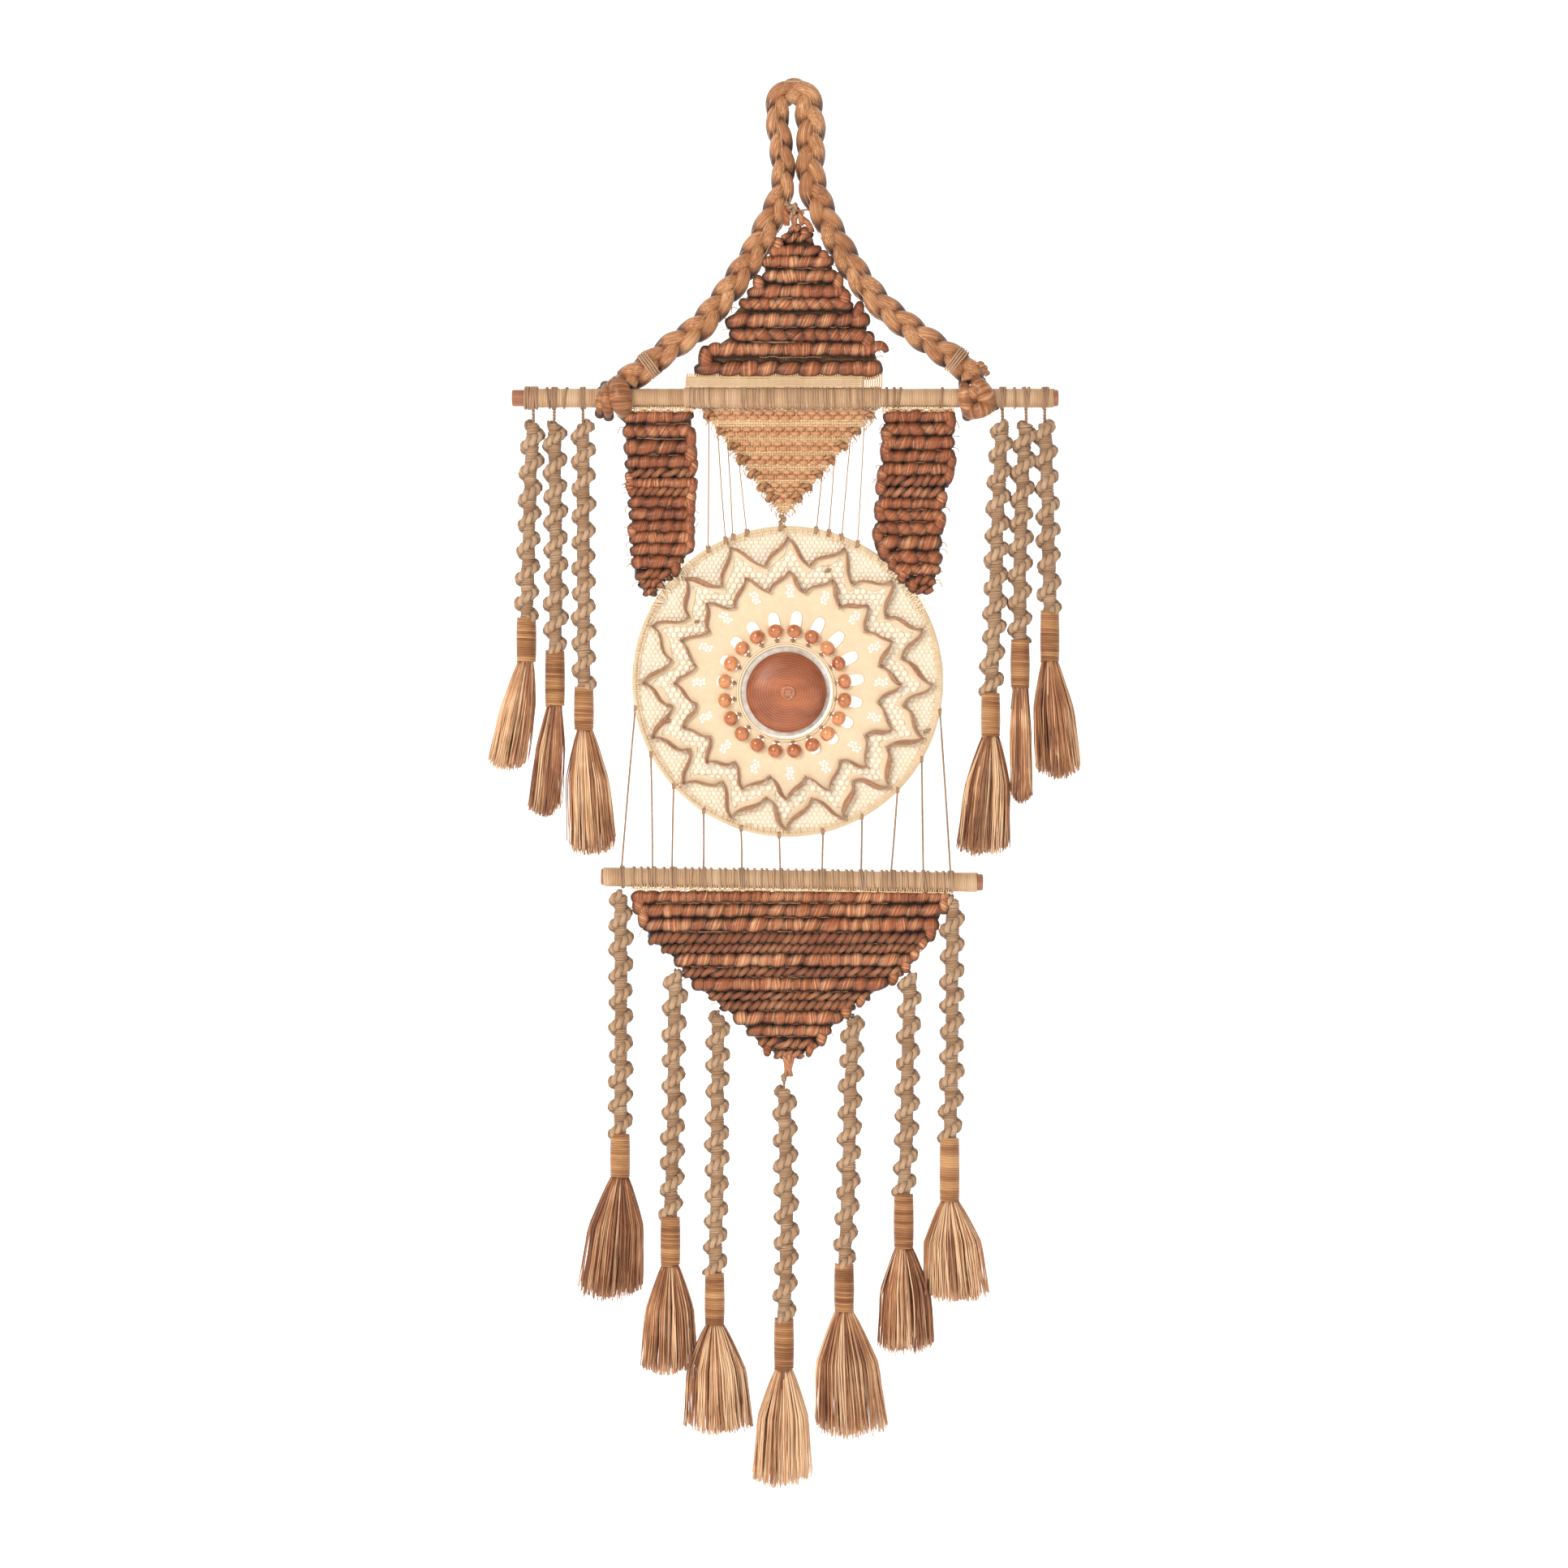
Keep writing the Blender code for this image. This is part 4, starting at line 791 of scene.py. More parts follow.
def build_rods():
    rng = random.Random(8)
    wood = finishes.made["dowel_wood"]
    for node in ("top_rod", "lower_rod"):
        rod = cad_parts[node]
        rod.data.materials.clear()
        rod.data.materials.append(wood)
    level = lambda x: ROD_Z
    top = [winding(ROD_LEFT + 10.4, ROD_RIGHT - 3.6, level, 6.9, 1.35, 0.72, rng),
           winding(-83.5, 67.0, level, 7.9, 1.3, 0.68, rng, 0.18)]
    wound = strands("top_rod_winding", top, finishes.made["wound_thread"], sides=6)
    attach(wound, "hanger")
    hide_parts("top_rod_wrap")
    x0, x1 = BAR_X - BAR_LENGTH / 2, BAR_X + BAR_LENGTH / 2
    low = [winding(x0 + 2.4, x1 - 4.4, bar_z, 6.9, 1.35, 0.72, rng)]
    wound = strands("lower_rod_winding", low, finishes.made["wound_thread"], sides=6)
    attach(wound, "lower_bar")
    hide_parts("lower_rod_wrap")

    ties = []
    for x in [DROPS[k][0] for k in "abcdef"]:
        for k in range(3):
            ties.append(ring(x + (k - 1) * 1.3, ROD_Z, 8.3, 0.65, rng.uniform(-1.2, 1.2), 0.45))
    for x in np.arange(-206.0, -197.5, 2.1):
        ties.append(ring(x, ROD_Z, 8.2, 1.05, rng.uniform(-0.8, 0.8), 0.35))
    for x in (-188, -176, 72, 77, 82, 114, 170):
        ties.append(ring(x + rng.uniform(-1, 1), ROD_Z, 8.1, 0.7, rng.uniform(-1.5, 1.5), 0.3))
    for k in range(60):
        x = rng.uniform(-80, 66)
        ties.append(ring(x, ROD_Z, 8.75, 0.42, rng.uniform(-0.4, 0.4), rng.uniform(0.5, 0.9)))
    piece = strands("top_rod_ties", ties, finishes.made["tan_thread"], sides=6)
    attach(piece, "hanger")
    loops = []
    for k in range(46):
        x = -122 + 243 * k / 45 + rng.uniform(-1.2, 1.2)
        loops.append(ring(x, bar_z(x), 8.1, 0.75, rng.uniform(-0.5, 0.5), rng.uniform(0.6, 1.0)))
    for _, x in STRINGS:
        for k in range(2):
            loops.append(ring(x + k * 1.5, bar_z(x), 8.4, 0.6, rng.uniform(-1.2, 1.2), 0.55))
    piece = strands("lower_rod_loops", loops, finishes.made["tan_thread"], sides=6)
    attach(piece, "lower_bar")


# ---------------------------------------------------------------- thick coil weaving
def fat_row(x0, x1, z, fat, rng, tone):
    """A row of soft unspun fibre, pinched at uneven places, so it lies as a string of fat lobes."""
    lines = []
    x = x0
    lie = rng.choice((1, 1, 1, -1))
    while x < x1 - 1.0:
        long = min(rng.uniform(0.8, 2.7) * fat, x1 - x)
        if x1 - x - long < fat * 0.7:
            long = x1 - x
        t = np.linspace(0, 1, max(8, int((long + 6) / 0.9)))
        bow = np.sin(math.pi * t)
        slope = lie * rng.uniform(0.22, 0.5) * fat
        swell = fat * rng.uniform(0.9, 1.1) * (0.5 + 0.5 * bow ** 0.55)
        path = np.stack([x - 2.6 + (long + 5.2) * t, fat - 6.4 - 0.7 * bow,
                         z + slope * 2 * (t - 0.5) + rng.uniform(-0.3, 0.3)], axis=1)
        # painted shade: each lobe is darker towards its pinched ends
        lines.append(line(path, swell, shade=0.15 + 0.85 * bow ** 0.6, tone=tone + rng.uniform(-0.16, 0.16)))
        x += long
    return lines


def coil_panel(name, rows, left, right, body, node, seed):
    """Rows of fat coil lying on a thin cloth, folded back at their ends, with thin threads between them."""
    rng = random.Random(seed)
    lines, thin, ends = [], [], []
    for i, (z, fat) in enumerate(rows):
        x0, x1 = left(z) + fat * 0.75, right(z) - fat * 0.75
        if x1 - x0 < 7:
            x0, x1 = (x0 + x1) / 2 - 3.5, (x0 + x1) / 2 + 3.5
        tone = (0.36 if body == "hoop" else 0.52) + rng.uniform(-0.15, 0.15)
        if fat > 4.4 or rng.random() < 0.35:
            lines += fat_row(x0, x1, z, fat * 1.06, rng, tone)
        else:
            n = max(4, int((x1 - x0) / 9))
            path = smooth_path([(x0 + (x1 - x0) * k / (n - 1), fat - 6.6 + rng.uniform(-0.5, 0.2),
                                 z + rng.uniform(-0.7, 0.7)) for k in range(n)], 1.0)
            # the thin rows' plies get deep painted shade at their backs
            lines += plied(path, fat * 1.08, sizes().coil_pitch * rng.uniform(0.5, 0.8), rng,
                           tone=tone, wander=1.2, flat=0.85, painted_shade_back=0.15)
        if i + 1 < len(rows):
            z2, fat2 = rows[i + 1]
            # the coil folds over into the next row, at one side and then the other, sometimes at both
            for edge, out in ((right, 1), (left, -1)):
                if rng.random() < (0.35 if (i % 2 == 0) == (out == 1) else 0.75):
                    continue
                xe = (edge(z) + edge(z2)) / 2
                r = (fat + fat2) * rng.uniform(0.40, 0.55)
                rise = (z - z2) * rng.uniform(0.5, 0.8)
                zm = (z + z2) / 2
                tilt = out * rng.uniform(-1.2, 2.2)
                t = np.linspace(-1, 1, 18)
                path = np.stack([xe - out * r * 0.86 + tilt * t, r - 6.2 - 1.0 * (1 - t * t), zm + rise * t], axis=1)
                swell = r * (0.45 + 0.55 * np.cos(t * math.pi / 2) ** 0.6)
                # painted shade: the fold is darker towards its ends
                ends.append(line(path, swell, shade=0.3 + 0.7 * np.cos(t * math.pi / 2) ** 0.5,
                                 tone=tone + rng.uniform(-0.25, 0.2)))
            zm = (z - fat + z2 + fat2) / 2
            for k in range(2):
                if rng.random() < 0.6:
                    a = x0 + (x1 - x0) * rng.uniform(0, 0.5)
                    b = x1 - (x1 - x0) * rng.uniform(0, 0.5)
                    m = int((b - a) / 2.4)
                    if m > 3:
                        path = [(a + (b - a) * q / (m - 1), -3.0 - 0.6 * (q % 2), zm + 0.7 * k + rng.uniform(-0.5, 0.5))
                                for q in range(m)]
                        # painted shade on the thin threads between the rows
                        thin.append(line(even(path, 1.2), 0.42, tone=rng.uniform(0.0, 0.6), shade=0.75))
    for _ in range(int(len(rows) * 1.2)):
        z = rng.uniform(rows[-1][0], rows[0][0])
        edge, out = (left, -1) if rng.random() < 0.6 else (right, 1)
        x = edge(z)
        path = [(x - out * 4, -2, z), (x + out * 0.5, -3, z + rng.uniform(-2, 2)),
                (x + out * rng.uniform(1.5, 3.5), -2, z + rng.uniform(-5, 3))]
        thin.append(line(smooth_path(path, 1.0), 0.38, tone=rng.uniform(0.1, 0.6)))
    coils = strands(name + "_coils", lines + ends, finishes.made["coil_sisal"], sides=12)
    threads = strands(name + "_threads", thin, finishes.made["tan_thread"], sides=6)
    zs = [rows[0][0] + rows[0][1] * 0.6] + [r[0] for r in rows[1:-1]] + [rows[-1][0] - rows[-1][1] * 0.3]
    shape = [(left(z) + 3.0, z) for z in zs] + [(right(z) - 3.0, z) for z in reversed(zs)]
    cloth = flat_shape(name + "_cloth", [shape], 0.6, 1.2, finishes.made["backing_cloth"])
    for piece in (coils, threads, cloth):
        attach(piece, body)
    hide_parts(node)


def row_edges(rows):
    """Left and right edges of a panel, from rows that give their own ends."""
    ordered = sorted(rows, key=lambda r: -r[0])
    zs = [-r[0] for r in ordered]
    return (lambda z: float(np.interp(-z, zs, [r[2] for r in ordered])),
            lambda z: float(np.interp(-z, zs, [r[3] for r in ordered])))


def build_coil_panels():
    left, right = row_edges(UPPER_ROWS)
    coil_panel("upper_panel", [r[:2] for r in UPPER_ROWS], left, right, "hanger", "upper_weave", 11)
    coil_panel("left_panel", LEFT_ROWS, lambda z: edge_x(LEFT_EDGE, z), lambda z: edge_x(LEFT_INNER, z), "hoop",
               "left_panel", 12)
    coil_panel("right_panel", RIGHT_ROWS, lambda z: edge_x(RIGHT_INNER, z), lambda z: edge_x(RIGHT_EDGE, z), "hoop",
               "right_panel", 13)
    coil_panel("lower_panel", LOWER_ROWS, lambda z: edge_x(LOWER_LEFT, z), lambda z: edge_x(LOWER_RIGHT, z),
               "lower_bar", "lower_weave", 14)
    rng = random.Random(15)
    # the loose end at the lower panel's tip, which the middle drop hangs from
    tail = []
    for x0, x1, fat in ((-8, -6, 2.2), (-3, -1.5, 2.6), (0, -4.5, 1.8)):
        path = smooth_path([(x0, -3, -732), ((x0 + x1) / 2 + rng.uniform(-1.5, 1.5), -5.5, -742), (x1, -4, -751)], 1.0)
        # a little painted shade on the tail's strands
        tail.append(line(path, np.linspace(fat, fat * 0.6, len(path)), shade=0.95, tone=0.8))
    tail = strands("lower_panel_tail", tail, finishes.made["coil_sisal"], sides=10)
    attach(tail, "lower_bar")
    # the flap that stands out at the right of the upper panel
    # a little painted shade on the flap's strands and on the curls below
    flap = [line(smooth_path([(62, -2.5 - k, -188 - 2.2 * k), (67, -3.5 - k, -187.5 - 1.6 * k),
                              (70.5, -3, -190 - k), (71.5, -2, -193.5)], 1.0), 2.4, tilt=0.5, shade=0.9, tone=0.7)
            for k in range(3)]
    # short curls that join the top of the panel to the braid where its legs meet
    for x0, z0, x1, z1, fat in ((-8, -80, -5, -97, 3.0), (-3, -81, 1, -98, 2.8), (2.5, -83, 6.5, -97, 2.4),
                                (6, -90, 15, -102, 2.4)):
        path = smooth_path([(x0, -3, z0), ((x0 + x1) / 2 + 1, -6.5, (z0 + z1) / 2), (x1, -4.5, z1)], 1.0)
        flap.append(line(path, fat * (0.7 + 0.3 * np.sin(np.linspace(0, math.pi, len(path)))), shade=0.9, tone=0.6))
    piece = strands("upper_panel_flap", flap, finishes.made["coil_sisal"], sides=10)
    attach(piece, "hanger")
    # warp threads between each rod and the panels under it or over it
    warps = {"hanger": [], "hoop": [], "lower_bar": []}
    for x in np.arange(-82, 68, 1.7):
        warps["hanger"].append(line(even([(x, -5.5, -222.0), (x + 0.6, -3.2, -210.5)], 1.5), 0.62,
                                    tone=rng.uniform(0.2, 0.9)))
    for z, y in ((-213.6, -4.6), (-215.3, -5.2), (-217.0, -5.6), (-218.7, -6.0), (-220.4, -6.4)):
        xs = np.arange(-83.0, 54.0, 1.3)
        warps["hanger"].append(line(np.stack([xs, y - 0.5 * np.cos(np.arange(len(xs)) * math.pi / 2),
                                              np.full(len(xs), z)], axis=1), 0.75, tone=rng.uniform(0.5, 0.9)))
    for lo, hi in ((-131, -77), (69, 124)):
        for x in np.arange(lo, hi, 1.8):
            warps["hoop"].append(line(even([(x, -3.8, -235.4), (x + rng.uniform(-1, 1), -5.2, -238),
                                            (x + rng.uniform(-1, 1), -3.0, -243.5)], 1.5), 0.5,
                                      tone=rng.uniform(0.1, 0.9)))
        for z in (-237.9, -239.6):
            xs = np.arange(lo - 1, hi + 1, 1.3)
            warps["hoop"].append(line(np.stack([xs, -5.2 - 0.4 * np.cos(np.arange(len(xs)) * math.pi / 2),
                                                z + 0.3 * np.sin(xs)], axis=1), 0.55, tone=rng.uniform(0.3, 0.8)))
    for x in np.arange(-122, 121, 1.9):
        warps["lower_bar"].append(line(even([(x, -5.5, bar_z(x) - 5.5), (x + rng.uniform(-1, 1), -3.0,
                                                                        bar_z(x) - 13)], 1.5), 0.5,
                                       tone=rng.uniform(0.3, 0.9)))
    xs = np.arange(-125, 121, 1.3)
    warps["lower_bar"].append(line(np.stack([xs, -5.0 - 0.4 * np.cos(np.arange(len(xs)) * math.pi / 2),
                                             np.array([bar_z(x) - 8.3 for x in xs])], axis=1), 0.6, tone=0.8))
    for body, lines in warps.items():
        piece = strands(body + "_warp_ends", lines, finishes.made["weft_thread"], sides=6)
        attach(piece, body)


# ---------------------------------------------------------------- plain cloth
def build_plain_cloth():
    rng = random.Random(21)
    step = sizes().weave_spacing
    tip_x, tip_z = CLOTH_TIP
    depth = CLOTH_TOP - tip_z
    left = lambda z: CLOTH_LEFT + (tip_x - CLOTH_LEFT) * (CLOTH_TOP - z) / depth
    right = lambda z: CLOTH_RIGHT + (tip_x - CLOTH_RIGHT) * (CLOTH_TOP - z) / depth
    bands = [-242.5, -255.0, -266.3, -276.9, -288.1, -298.1, -306.3]
    pale, rose, tufts, fringe = [], [], [], []
    rows = int((CLOTH_TOP + 1 - (tip_z + 3)) / step)
    for r in range(rows):
        z = CLOTH_TOP - 0.8 - r * step
        x0, x1 = left(z), right(z)
        in_band = min(abs(z - b) for b in bands) < 2.6
        xs = np.arange(math.floor(x0), math.ceil(x1) + 1) * 1.0
        if len(xs) < 4:
            continue
        sign = 1 if r % 2 else -1
        y = -0.5 * sign * np.cos(math.pi * xs / step)
        if in_band:
            y = y + 0.9
        zz = z + slow_noise(rng, len(xs), 8) * 0.25
        # painted shade on the threads where they pass under the bands
        pale.append(line(np.stack([xs, y, zz], axis=1), 0.82, tone=rng.uniform(0.2, 0.9), shade=0.85 if in_band else 1))
    for i, x in enumerate(np.arange(CLOTH_LEFT + 0.6, CLOTH_RIGHT, step)):
        share = (x - CLOTH_LEFT) / (tip_x - CLOTH_LEFT) if x < tip_x else (CLOTH_RIGHT - x) / (CLOTH_RIGHT - tip_x)
        low = CLOTH_TOP - share * depth - 1.0
        zs = np.arange(CLOTH_TOP + 1.5, low, -1.0)
        if len(zs) < 3:
            continue
        sign = 1 if i % 2 else -1
        y = 0.5 * sign * np.cos(math.pi * (CLOTH_TOP - 0.8 - zs) / step)
        pale.append(line(np.stack([np.full(len(zs), x) + slow_noise(rng, len(zs), 6) * 0.2, y, zs], axis=1), 0.75,
                         tone=rng.uniform(0.2, 0.9)))
    for b, z0 in enumerate(bands):
        for k in (0, 1):
            z = z0 + (1.9 if k else -1.9)
            x0, x1 = left(z) + 1, right(z) - 1
            xs = np.arange(x0, x1, 0.8)
            wave = np.tanh(2.6 * np.sin(TAU * xs / 8.2 + math.pi * k + 0.6 * b))
            zz = z + slow_noise(rng, len(xs), 9) * 0.35
            # painted shade: a band thread is darker where its wave turns back
            rose.append(line(np.stack([xs, -0.25 - 1.15 * wave, zz], axis=1), 1.75 + 0.1 * wave,
                             shade=0.55 + 0.45 * (wave * 0.5 + 0.5), tone=rng.uniform(0.35, 0.7)))
        for side, out in ((left, -1), (right, 1)):
            x, z = side(z0), z0
            big = rng.uniform(0.8, 1.15)
            path = [(x - out * 7, -1.6, z + 1.6), (x - out * 2.0, -3.4, z + 1.2 * big),
                    (x + out * 1.2 * big, -3.0, z - 0.8), (x - out * 1.2, -2.2, z - 3.4 * big)]
            big *= 0.86
            # the tufts' plies are darkest at their backs, painted shade
            tufts += plied(smooth_path(path, 0.8), [1.3, 2.9 * big, 3.4 * big, 2.5 * big, 1.0], 13, rng, tone=0.6,
                           painted_shade_back=0.1)
    for _ in range(150):
        t = rng.random()
        side, out = ((left, -1), (right, 1))[rng.random() < 0.5]
        z = CLOTH_TOP - t * depth
        x = side(z)
        drop = rng.uniform(2, 7)
        path = [(x - out * 2, -0.8, z + 1), (x + out * rng.uniform(0, 2.2), -1.2, z - drop * 0.5),
                (x + out * rng.uniform(-1, 3), -0.8, z - drop)]
        fringe.append(line(smooth_path(path, 1.2), 0.3, tone=rng.uniform(0.1, 1.0)))
    for xc, xh in WARPS:
        zc = CLOTH_TOP - depth * ((xc - CLOTH_LEFT) / (tip_x - CLOTH_LEFT) if xc < tip_x
                                  else (CLOTH_RIGHT - xc) / (CLOTH_RIGHT - tip_x)) + 3
        zh = HOOP_Z + math.sqrt((HOOP_R - 0.5) ** 2 - (xh - HOOP_X) ** 2)
        path = smooth_path([(xc, -0.4, zc), ((xc + xh) / 2 + rng.uniform(-0.6, 0.6), -0.6, (zc + zh) / 2),
                            (xh, -1.2, zh - 1)], 1.5)
        fringe.append(line(path, 0.5, tone=rng.uniform(0.2, 0.7)))
        for k in range(3):
            # the knot that ties the thread to the hoop: three turns over the band
            a = np.linspace(0, TAU * 0.97, 14)
            tilt = rng.uniform(-0.5, 0.5)
            fringe.append(line(np.stack([xh + (k - 1) * 1.1 + tilt * np.cos(a), -2.9 * np.sin(a) - 0.4,
                                         zh - 0.6 + 2.6 * np.cos(a)], axis=1), 0.62, tone=0.25))
    knot = smooth_path([(-11, -2, -320), (-6, -3.6, -323), (-11, -3.4, -325.5), (-7, -2.8, -328), (-9.5, -1.5, -330)],
                       0.8)
    fringe += plied(knot, 1.6, 6, rng, tone=0.5)
    lining = flat_shape("plain_cloth_lining", [[(CLOTH_LEFT + 3, CLOTH_TOP), (CLOTH_RIGHT - 3, CLOTH_TOP),
                                                (tip_x, tip_z + 4)]], 0.9, 0.6, finishes.made["lining_cloth"])
    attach(lining, "hoop")
    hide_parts("plain_weave")
    for name, lines, finish, sides in (("plain_cloth_threads", pale, "weft_thread", 6),
                                       ("plain_cloth_bands", rose, "rose_thread", 8),
                                       ("plain_cloth_tufts", tufts, "binding_thread", 10),
                                       ("plain_cloth_fringe", fringe, "tan_thread", 6)):
        piece = strands(name, lines, finishes.made[finish], sides=sides)
        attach(piece, "hoop")


# ---------------------------------------------------------------- hoop, lace and ribbons
def zigzag(cx, cz, tip, valley, bow, seed):
    """A closed zigzag of sixteen points about a centre, its legs bent a little like an S."""
    rng = random.Random(seed)
    corner = []
    for i in range(32):
        a = math.radians(11.25 * i) + rng.uniform(-0.012, 0.012)
        r = (tip if i % 2 == 0 else valley) + rng.uniform(-1.2, 0.6)
        corner.append(np.array([cx + r * math.sin(a), 0.0, cz + r * math.cos(a)]))
    points = []
    for i in range(32):
        p, q = corner[i], corner[(i + 1) % 32]
        d = q - p
        across = np.array([-d[2], 0, d[0]]) / np.linalg.norm(d)
        b = bow * rng.uniform(0.6, 1.3)
        points += [p, p + d * 0.16 + across * b * 0.75, p + d * 0.36 + across * b * 0.55,
                   p + d * 0.64 - across * b * 0.55, p + d * 0.84 - across * b * 0.75]
    return smooth_loop(points, 1.2), corner


def shrink(loop, cx, cz, share):
    return [(cx + (x - cx) * share, cz + (z - cz) * share) for x, _, z in loop]


def ribbon_wall(name, loop, y_front, y_back, lean, seed):
    """A flat ribbon on its edge along a closed path. It leans over in the middle of each leg."""
    rng = random.Random(seed)
    n = len(loop)
    t = np.roll(loop, -1, axis=0) - np.roll(loop, 1, axis=0)
    t /= np.linalg.norm(t, axis=1, keepdims=True)
    normal = np.stack([-t[:, 2], np.zeros(n), t[:, 0]], axis=1)
    phase = np.linspace(0, 32, n, endpoint=False)
    amount = np.array([rng.uniform(0.25, 1.0) * rng.choice((1, 1, -1)) for _ in range(32)])
    tilt = amount[phase.astype(int) % 32] * np.sin(math.pi * (phase % 1.0)) ** 1.3 * lean
    work = bmesh.new()
    rings = []
    for y, s in ((y_front, 1), (y_back, -1)):
        verts = [work.verts.new((p * MM).tolist()) for p in loop + normal * (tilt * s)[:, None] + (0, y, 0)]
        rings.append([work.edges.new((verts[i], verts[(i + 1) % n])) for i in range(n)])
    bmesh.ops.bridge_loops(work, edges=rings[0] + rings[1])
    bmesh.ops.recalc_face_normals(work, faces=work.faces)
    bmesh.ops.solidify(work, geom=work.faces[:], thickness=1.0 * MM)
    return finish_mesh(name, work, finishes.made["ribbon"])


def hex_net(cell, thread, inside, seed):
    """Threads of a hexagonal net, kept where inside(x, z) allows."""
    rng = random.Random(seed)
    side = cell / math.sqrt(3)
    reach = 122.0
    rows = int(2 * reach / (1.5 * side))
    cols = int(4 * reach / cell)
    lines = []
    grid = {}
    for r in range(rows):
        run = []
        for k in range(cols):
            x = HOOP_X - reach + k * cell / 2
            up = (k + r) % 2 == 0
            z = HOOP_Z - reach + r * 1.5 * side + (side / 4 if up else -side / 4)
            x2, z2 = x + rng.uniform(-0.1, 0.1) * cell, z + rng.uniform(-0.1, 0.1) * cell
            if inside(x, z):
                grid[r, k] = (x2, -0.5, z2)
                run.append(grid[r, k])
            else:
                if len(run) > 1:
                    lines.append(run)
                run = []
        if len(run) > 1:
            lines.append(run)
    for (r, k), p in grid.items():
        if (k + r) % 2 == 0 and (r + 1, k) in grid:
            lines.append([p, grid[r + 1, k]])
    return [line(np.array(p), thread, tone=rng.random()) for p in lines]


def teardrop(angle, r0, r1, half, steps=18):
    """An eyelet that is narrow towards the middle of the hoop and round outside."""
    points = []
    for k in range(steps):
        a = TAU * k / steps
        t = 0.5 - 0.5 * math.cos(a)
        w = half * math.copysign(abs(math.sin(a)) ** 0.62, math.sin(a)) * (0.7 + 0.3 * t)
        r = r0 + (r1 - r0) * t
        points.append((BEADS_X + r * math.sin(angle) + w * math.cos(angle),
                       BEADS_Z + r * math.cos(angle) - w * math.sin(angle)))
    return points


def circle(cx, cz, r, n):
    return [(cx + r * math.sin(TAU * k / n), cz + r * math.cos(TAU * k / n)) for k in range(n)]


def build_lace():
    rng = random.Random(31)
    outer, outer_corners = zigzag(-4.7, -448.4, 113.2, 91.6, 2.3, 41)
    inner, inner_corners = zigzag(-4.7, -449.7, 88.6, 73.2, 1.6, 42)
    outer_r = lambda loop, cx, cz: (np.arctan2(loop[:, 0] - cx, loop[:, 2] - cz), np.hypot(loop[:, 0] - cx,
                                                                                       loop[:, 2] - cz))

    def radius_at(loop, cx, cz):
        a, r = outer_r(loop, cx, cz)
        order = np.argsort(a)
        a, r = a[order], r[order]
        a = np.concatenate(([a[-1] - TAU], a, [a[0] + TAU]))
        r = np.concatenate(([r[-1]], r, [r[0]]))
        return lambda x, z: float(np.interp(math.atan2(x - cx, z - cz), a, r))

    far, near = radius_at(outer, -4.7, -448.4), radius_at(inner, -4.7, -449.7)
    # the solid cloth star, with an eyelet for each bead and clusters of small holes
    holes = [circle(BOSS_X, BOSS_Z, 35.5, 96)]
    eyelets = []
    for i in range(20):
        a = math.radians(18 * (i + 0.5))
        # the beads have sunk a little in their eyelets, so the openings show above them and to the right
        eyelets.append((a, 56.6 + 4.2 * math.sin(a) + 5.0 * math.cos(a)))
    holes += [teardrop(a, 39.4, reach, 4.9) for a, reach in eyelets]
    for i in range(16):
        a = math.radians(22.5 * i)
        for dr in (-3.9, -1.3, 1.3, 3.9):
            for side in (-1, 1):
                r, b = 70.2 + dr, a + side * 1.5 / 70.2 + (0.009 if dr in (-3.9, 1.3) else -0.009)
                holes.append(circle(-2.6 + r * math.sin(b), -447.9 + r * math.cos(b), 1.08, 8))
    star = flat_shape("lace_star", [shrink(inner, -4.7, -449.7, 0.992)] + holes, -0.7, 0.9,
                      finishes.made["lace_cloth"])
    band = flat_shape("lace_band", [shrink(outer, -4.7, -448.4, 0.994), shrink(outer, -4.7, -448.4, 0.925)], -0.7,
                      0.9, finishes.made["lace_cloth"])
    rim = flat_shape("lace_rim", [circle(HOOP_X, HOOP_Z, 117.2, 160), circle(HOOP_X, HOOP_Z, 114.6, 160)], -0.7, 0.9,
                     finishes.made["lace_cloth"])

    ground = flat_shape("net_ground", [circle(HOOP_X, HOOP_Z, 115.4, 160), shrink(inner, -4.7, -449.7, 0.965)], 0.5,
                        0.4, finishes.made["net_ground"])

    def outside_zigzag(x, z):
        return math.hypot(x - HOOP_X, z - HOOP_Z) < 116.6 and \
            math.hypot(x + 4.7, z + 448.4) > far(x, z) * 0.985

    def between(x, z):
        return math.hypot(x + 4.7, z + 448.4) < far(x, z) * 0.94 and \
            math.hypot(x + 4.7, z + 449.7) > near(x, z) * 0.985

    cell = sizes().net_cell
    fine = strands("fine_net", hex_net(cell, 0.30, outside_zigzag, 51), finishes.made["lace_thread"], sides=4)
    open_net = strands("open_net", hex_net(cell * 1.35, 0.38, between, 52), finishes.made["lace_thread"], sides=4)
    # the thicker ring of lace about the boss, and small stitches over the edges of the eyelets
    edge = []
    for r, fat in ((35.9, 0.9), (37.6, 0.7)):
        a = np.linspace(0, TAU, 141)[:-1]
        edge.append(line(np.stack([BOSS_X + r * np.sin(a), np.full(140, -1.4), BOSS_Z + r * np.cos(a)], axis=1), fat,
                         tone=0.6))
    for i in range(20):
        drop = teardrop(eyelets[i][0], 39.2, eyelets[i][1] + 0.2, 5.1, 26)
        edge.append(line(np.array([(x, -0.9, z) for x, z in drop]), 0.42, tone=rng.uniform(0.3, 0.9)))
    loops = strands("lace_edges", edge, finishes.made["lace_thread"], sides=6, closed=True)
    for piece in (star, band, rim, ground, fine, open_net, loops):
        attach(piece, "hoop")
    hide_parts("lace_disc")

    for name, loop, node, lean, seed in (("outer_ribbon", outer, "outer_zigzag", 2.0, 61),
                                         ("inner_ribbon", inner, "inner_zigzag", 1.5, 62)):
        piece = ribbon_wall(name, loop, -4.2, -0.9, lean, seed)
        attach(piece, "hoop")
        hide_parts(node)
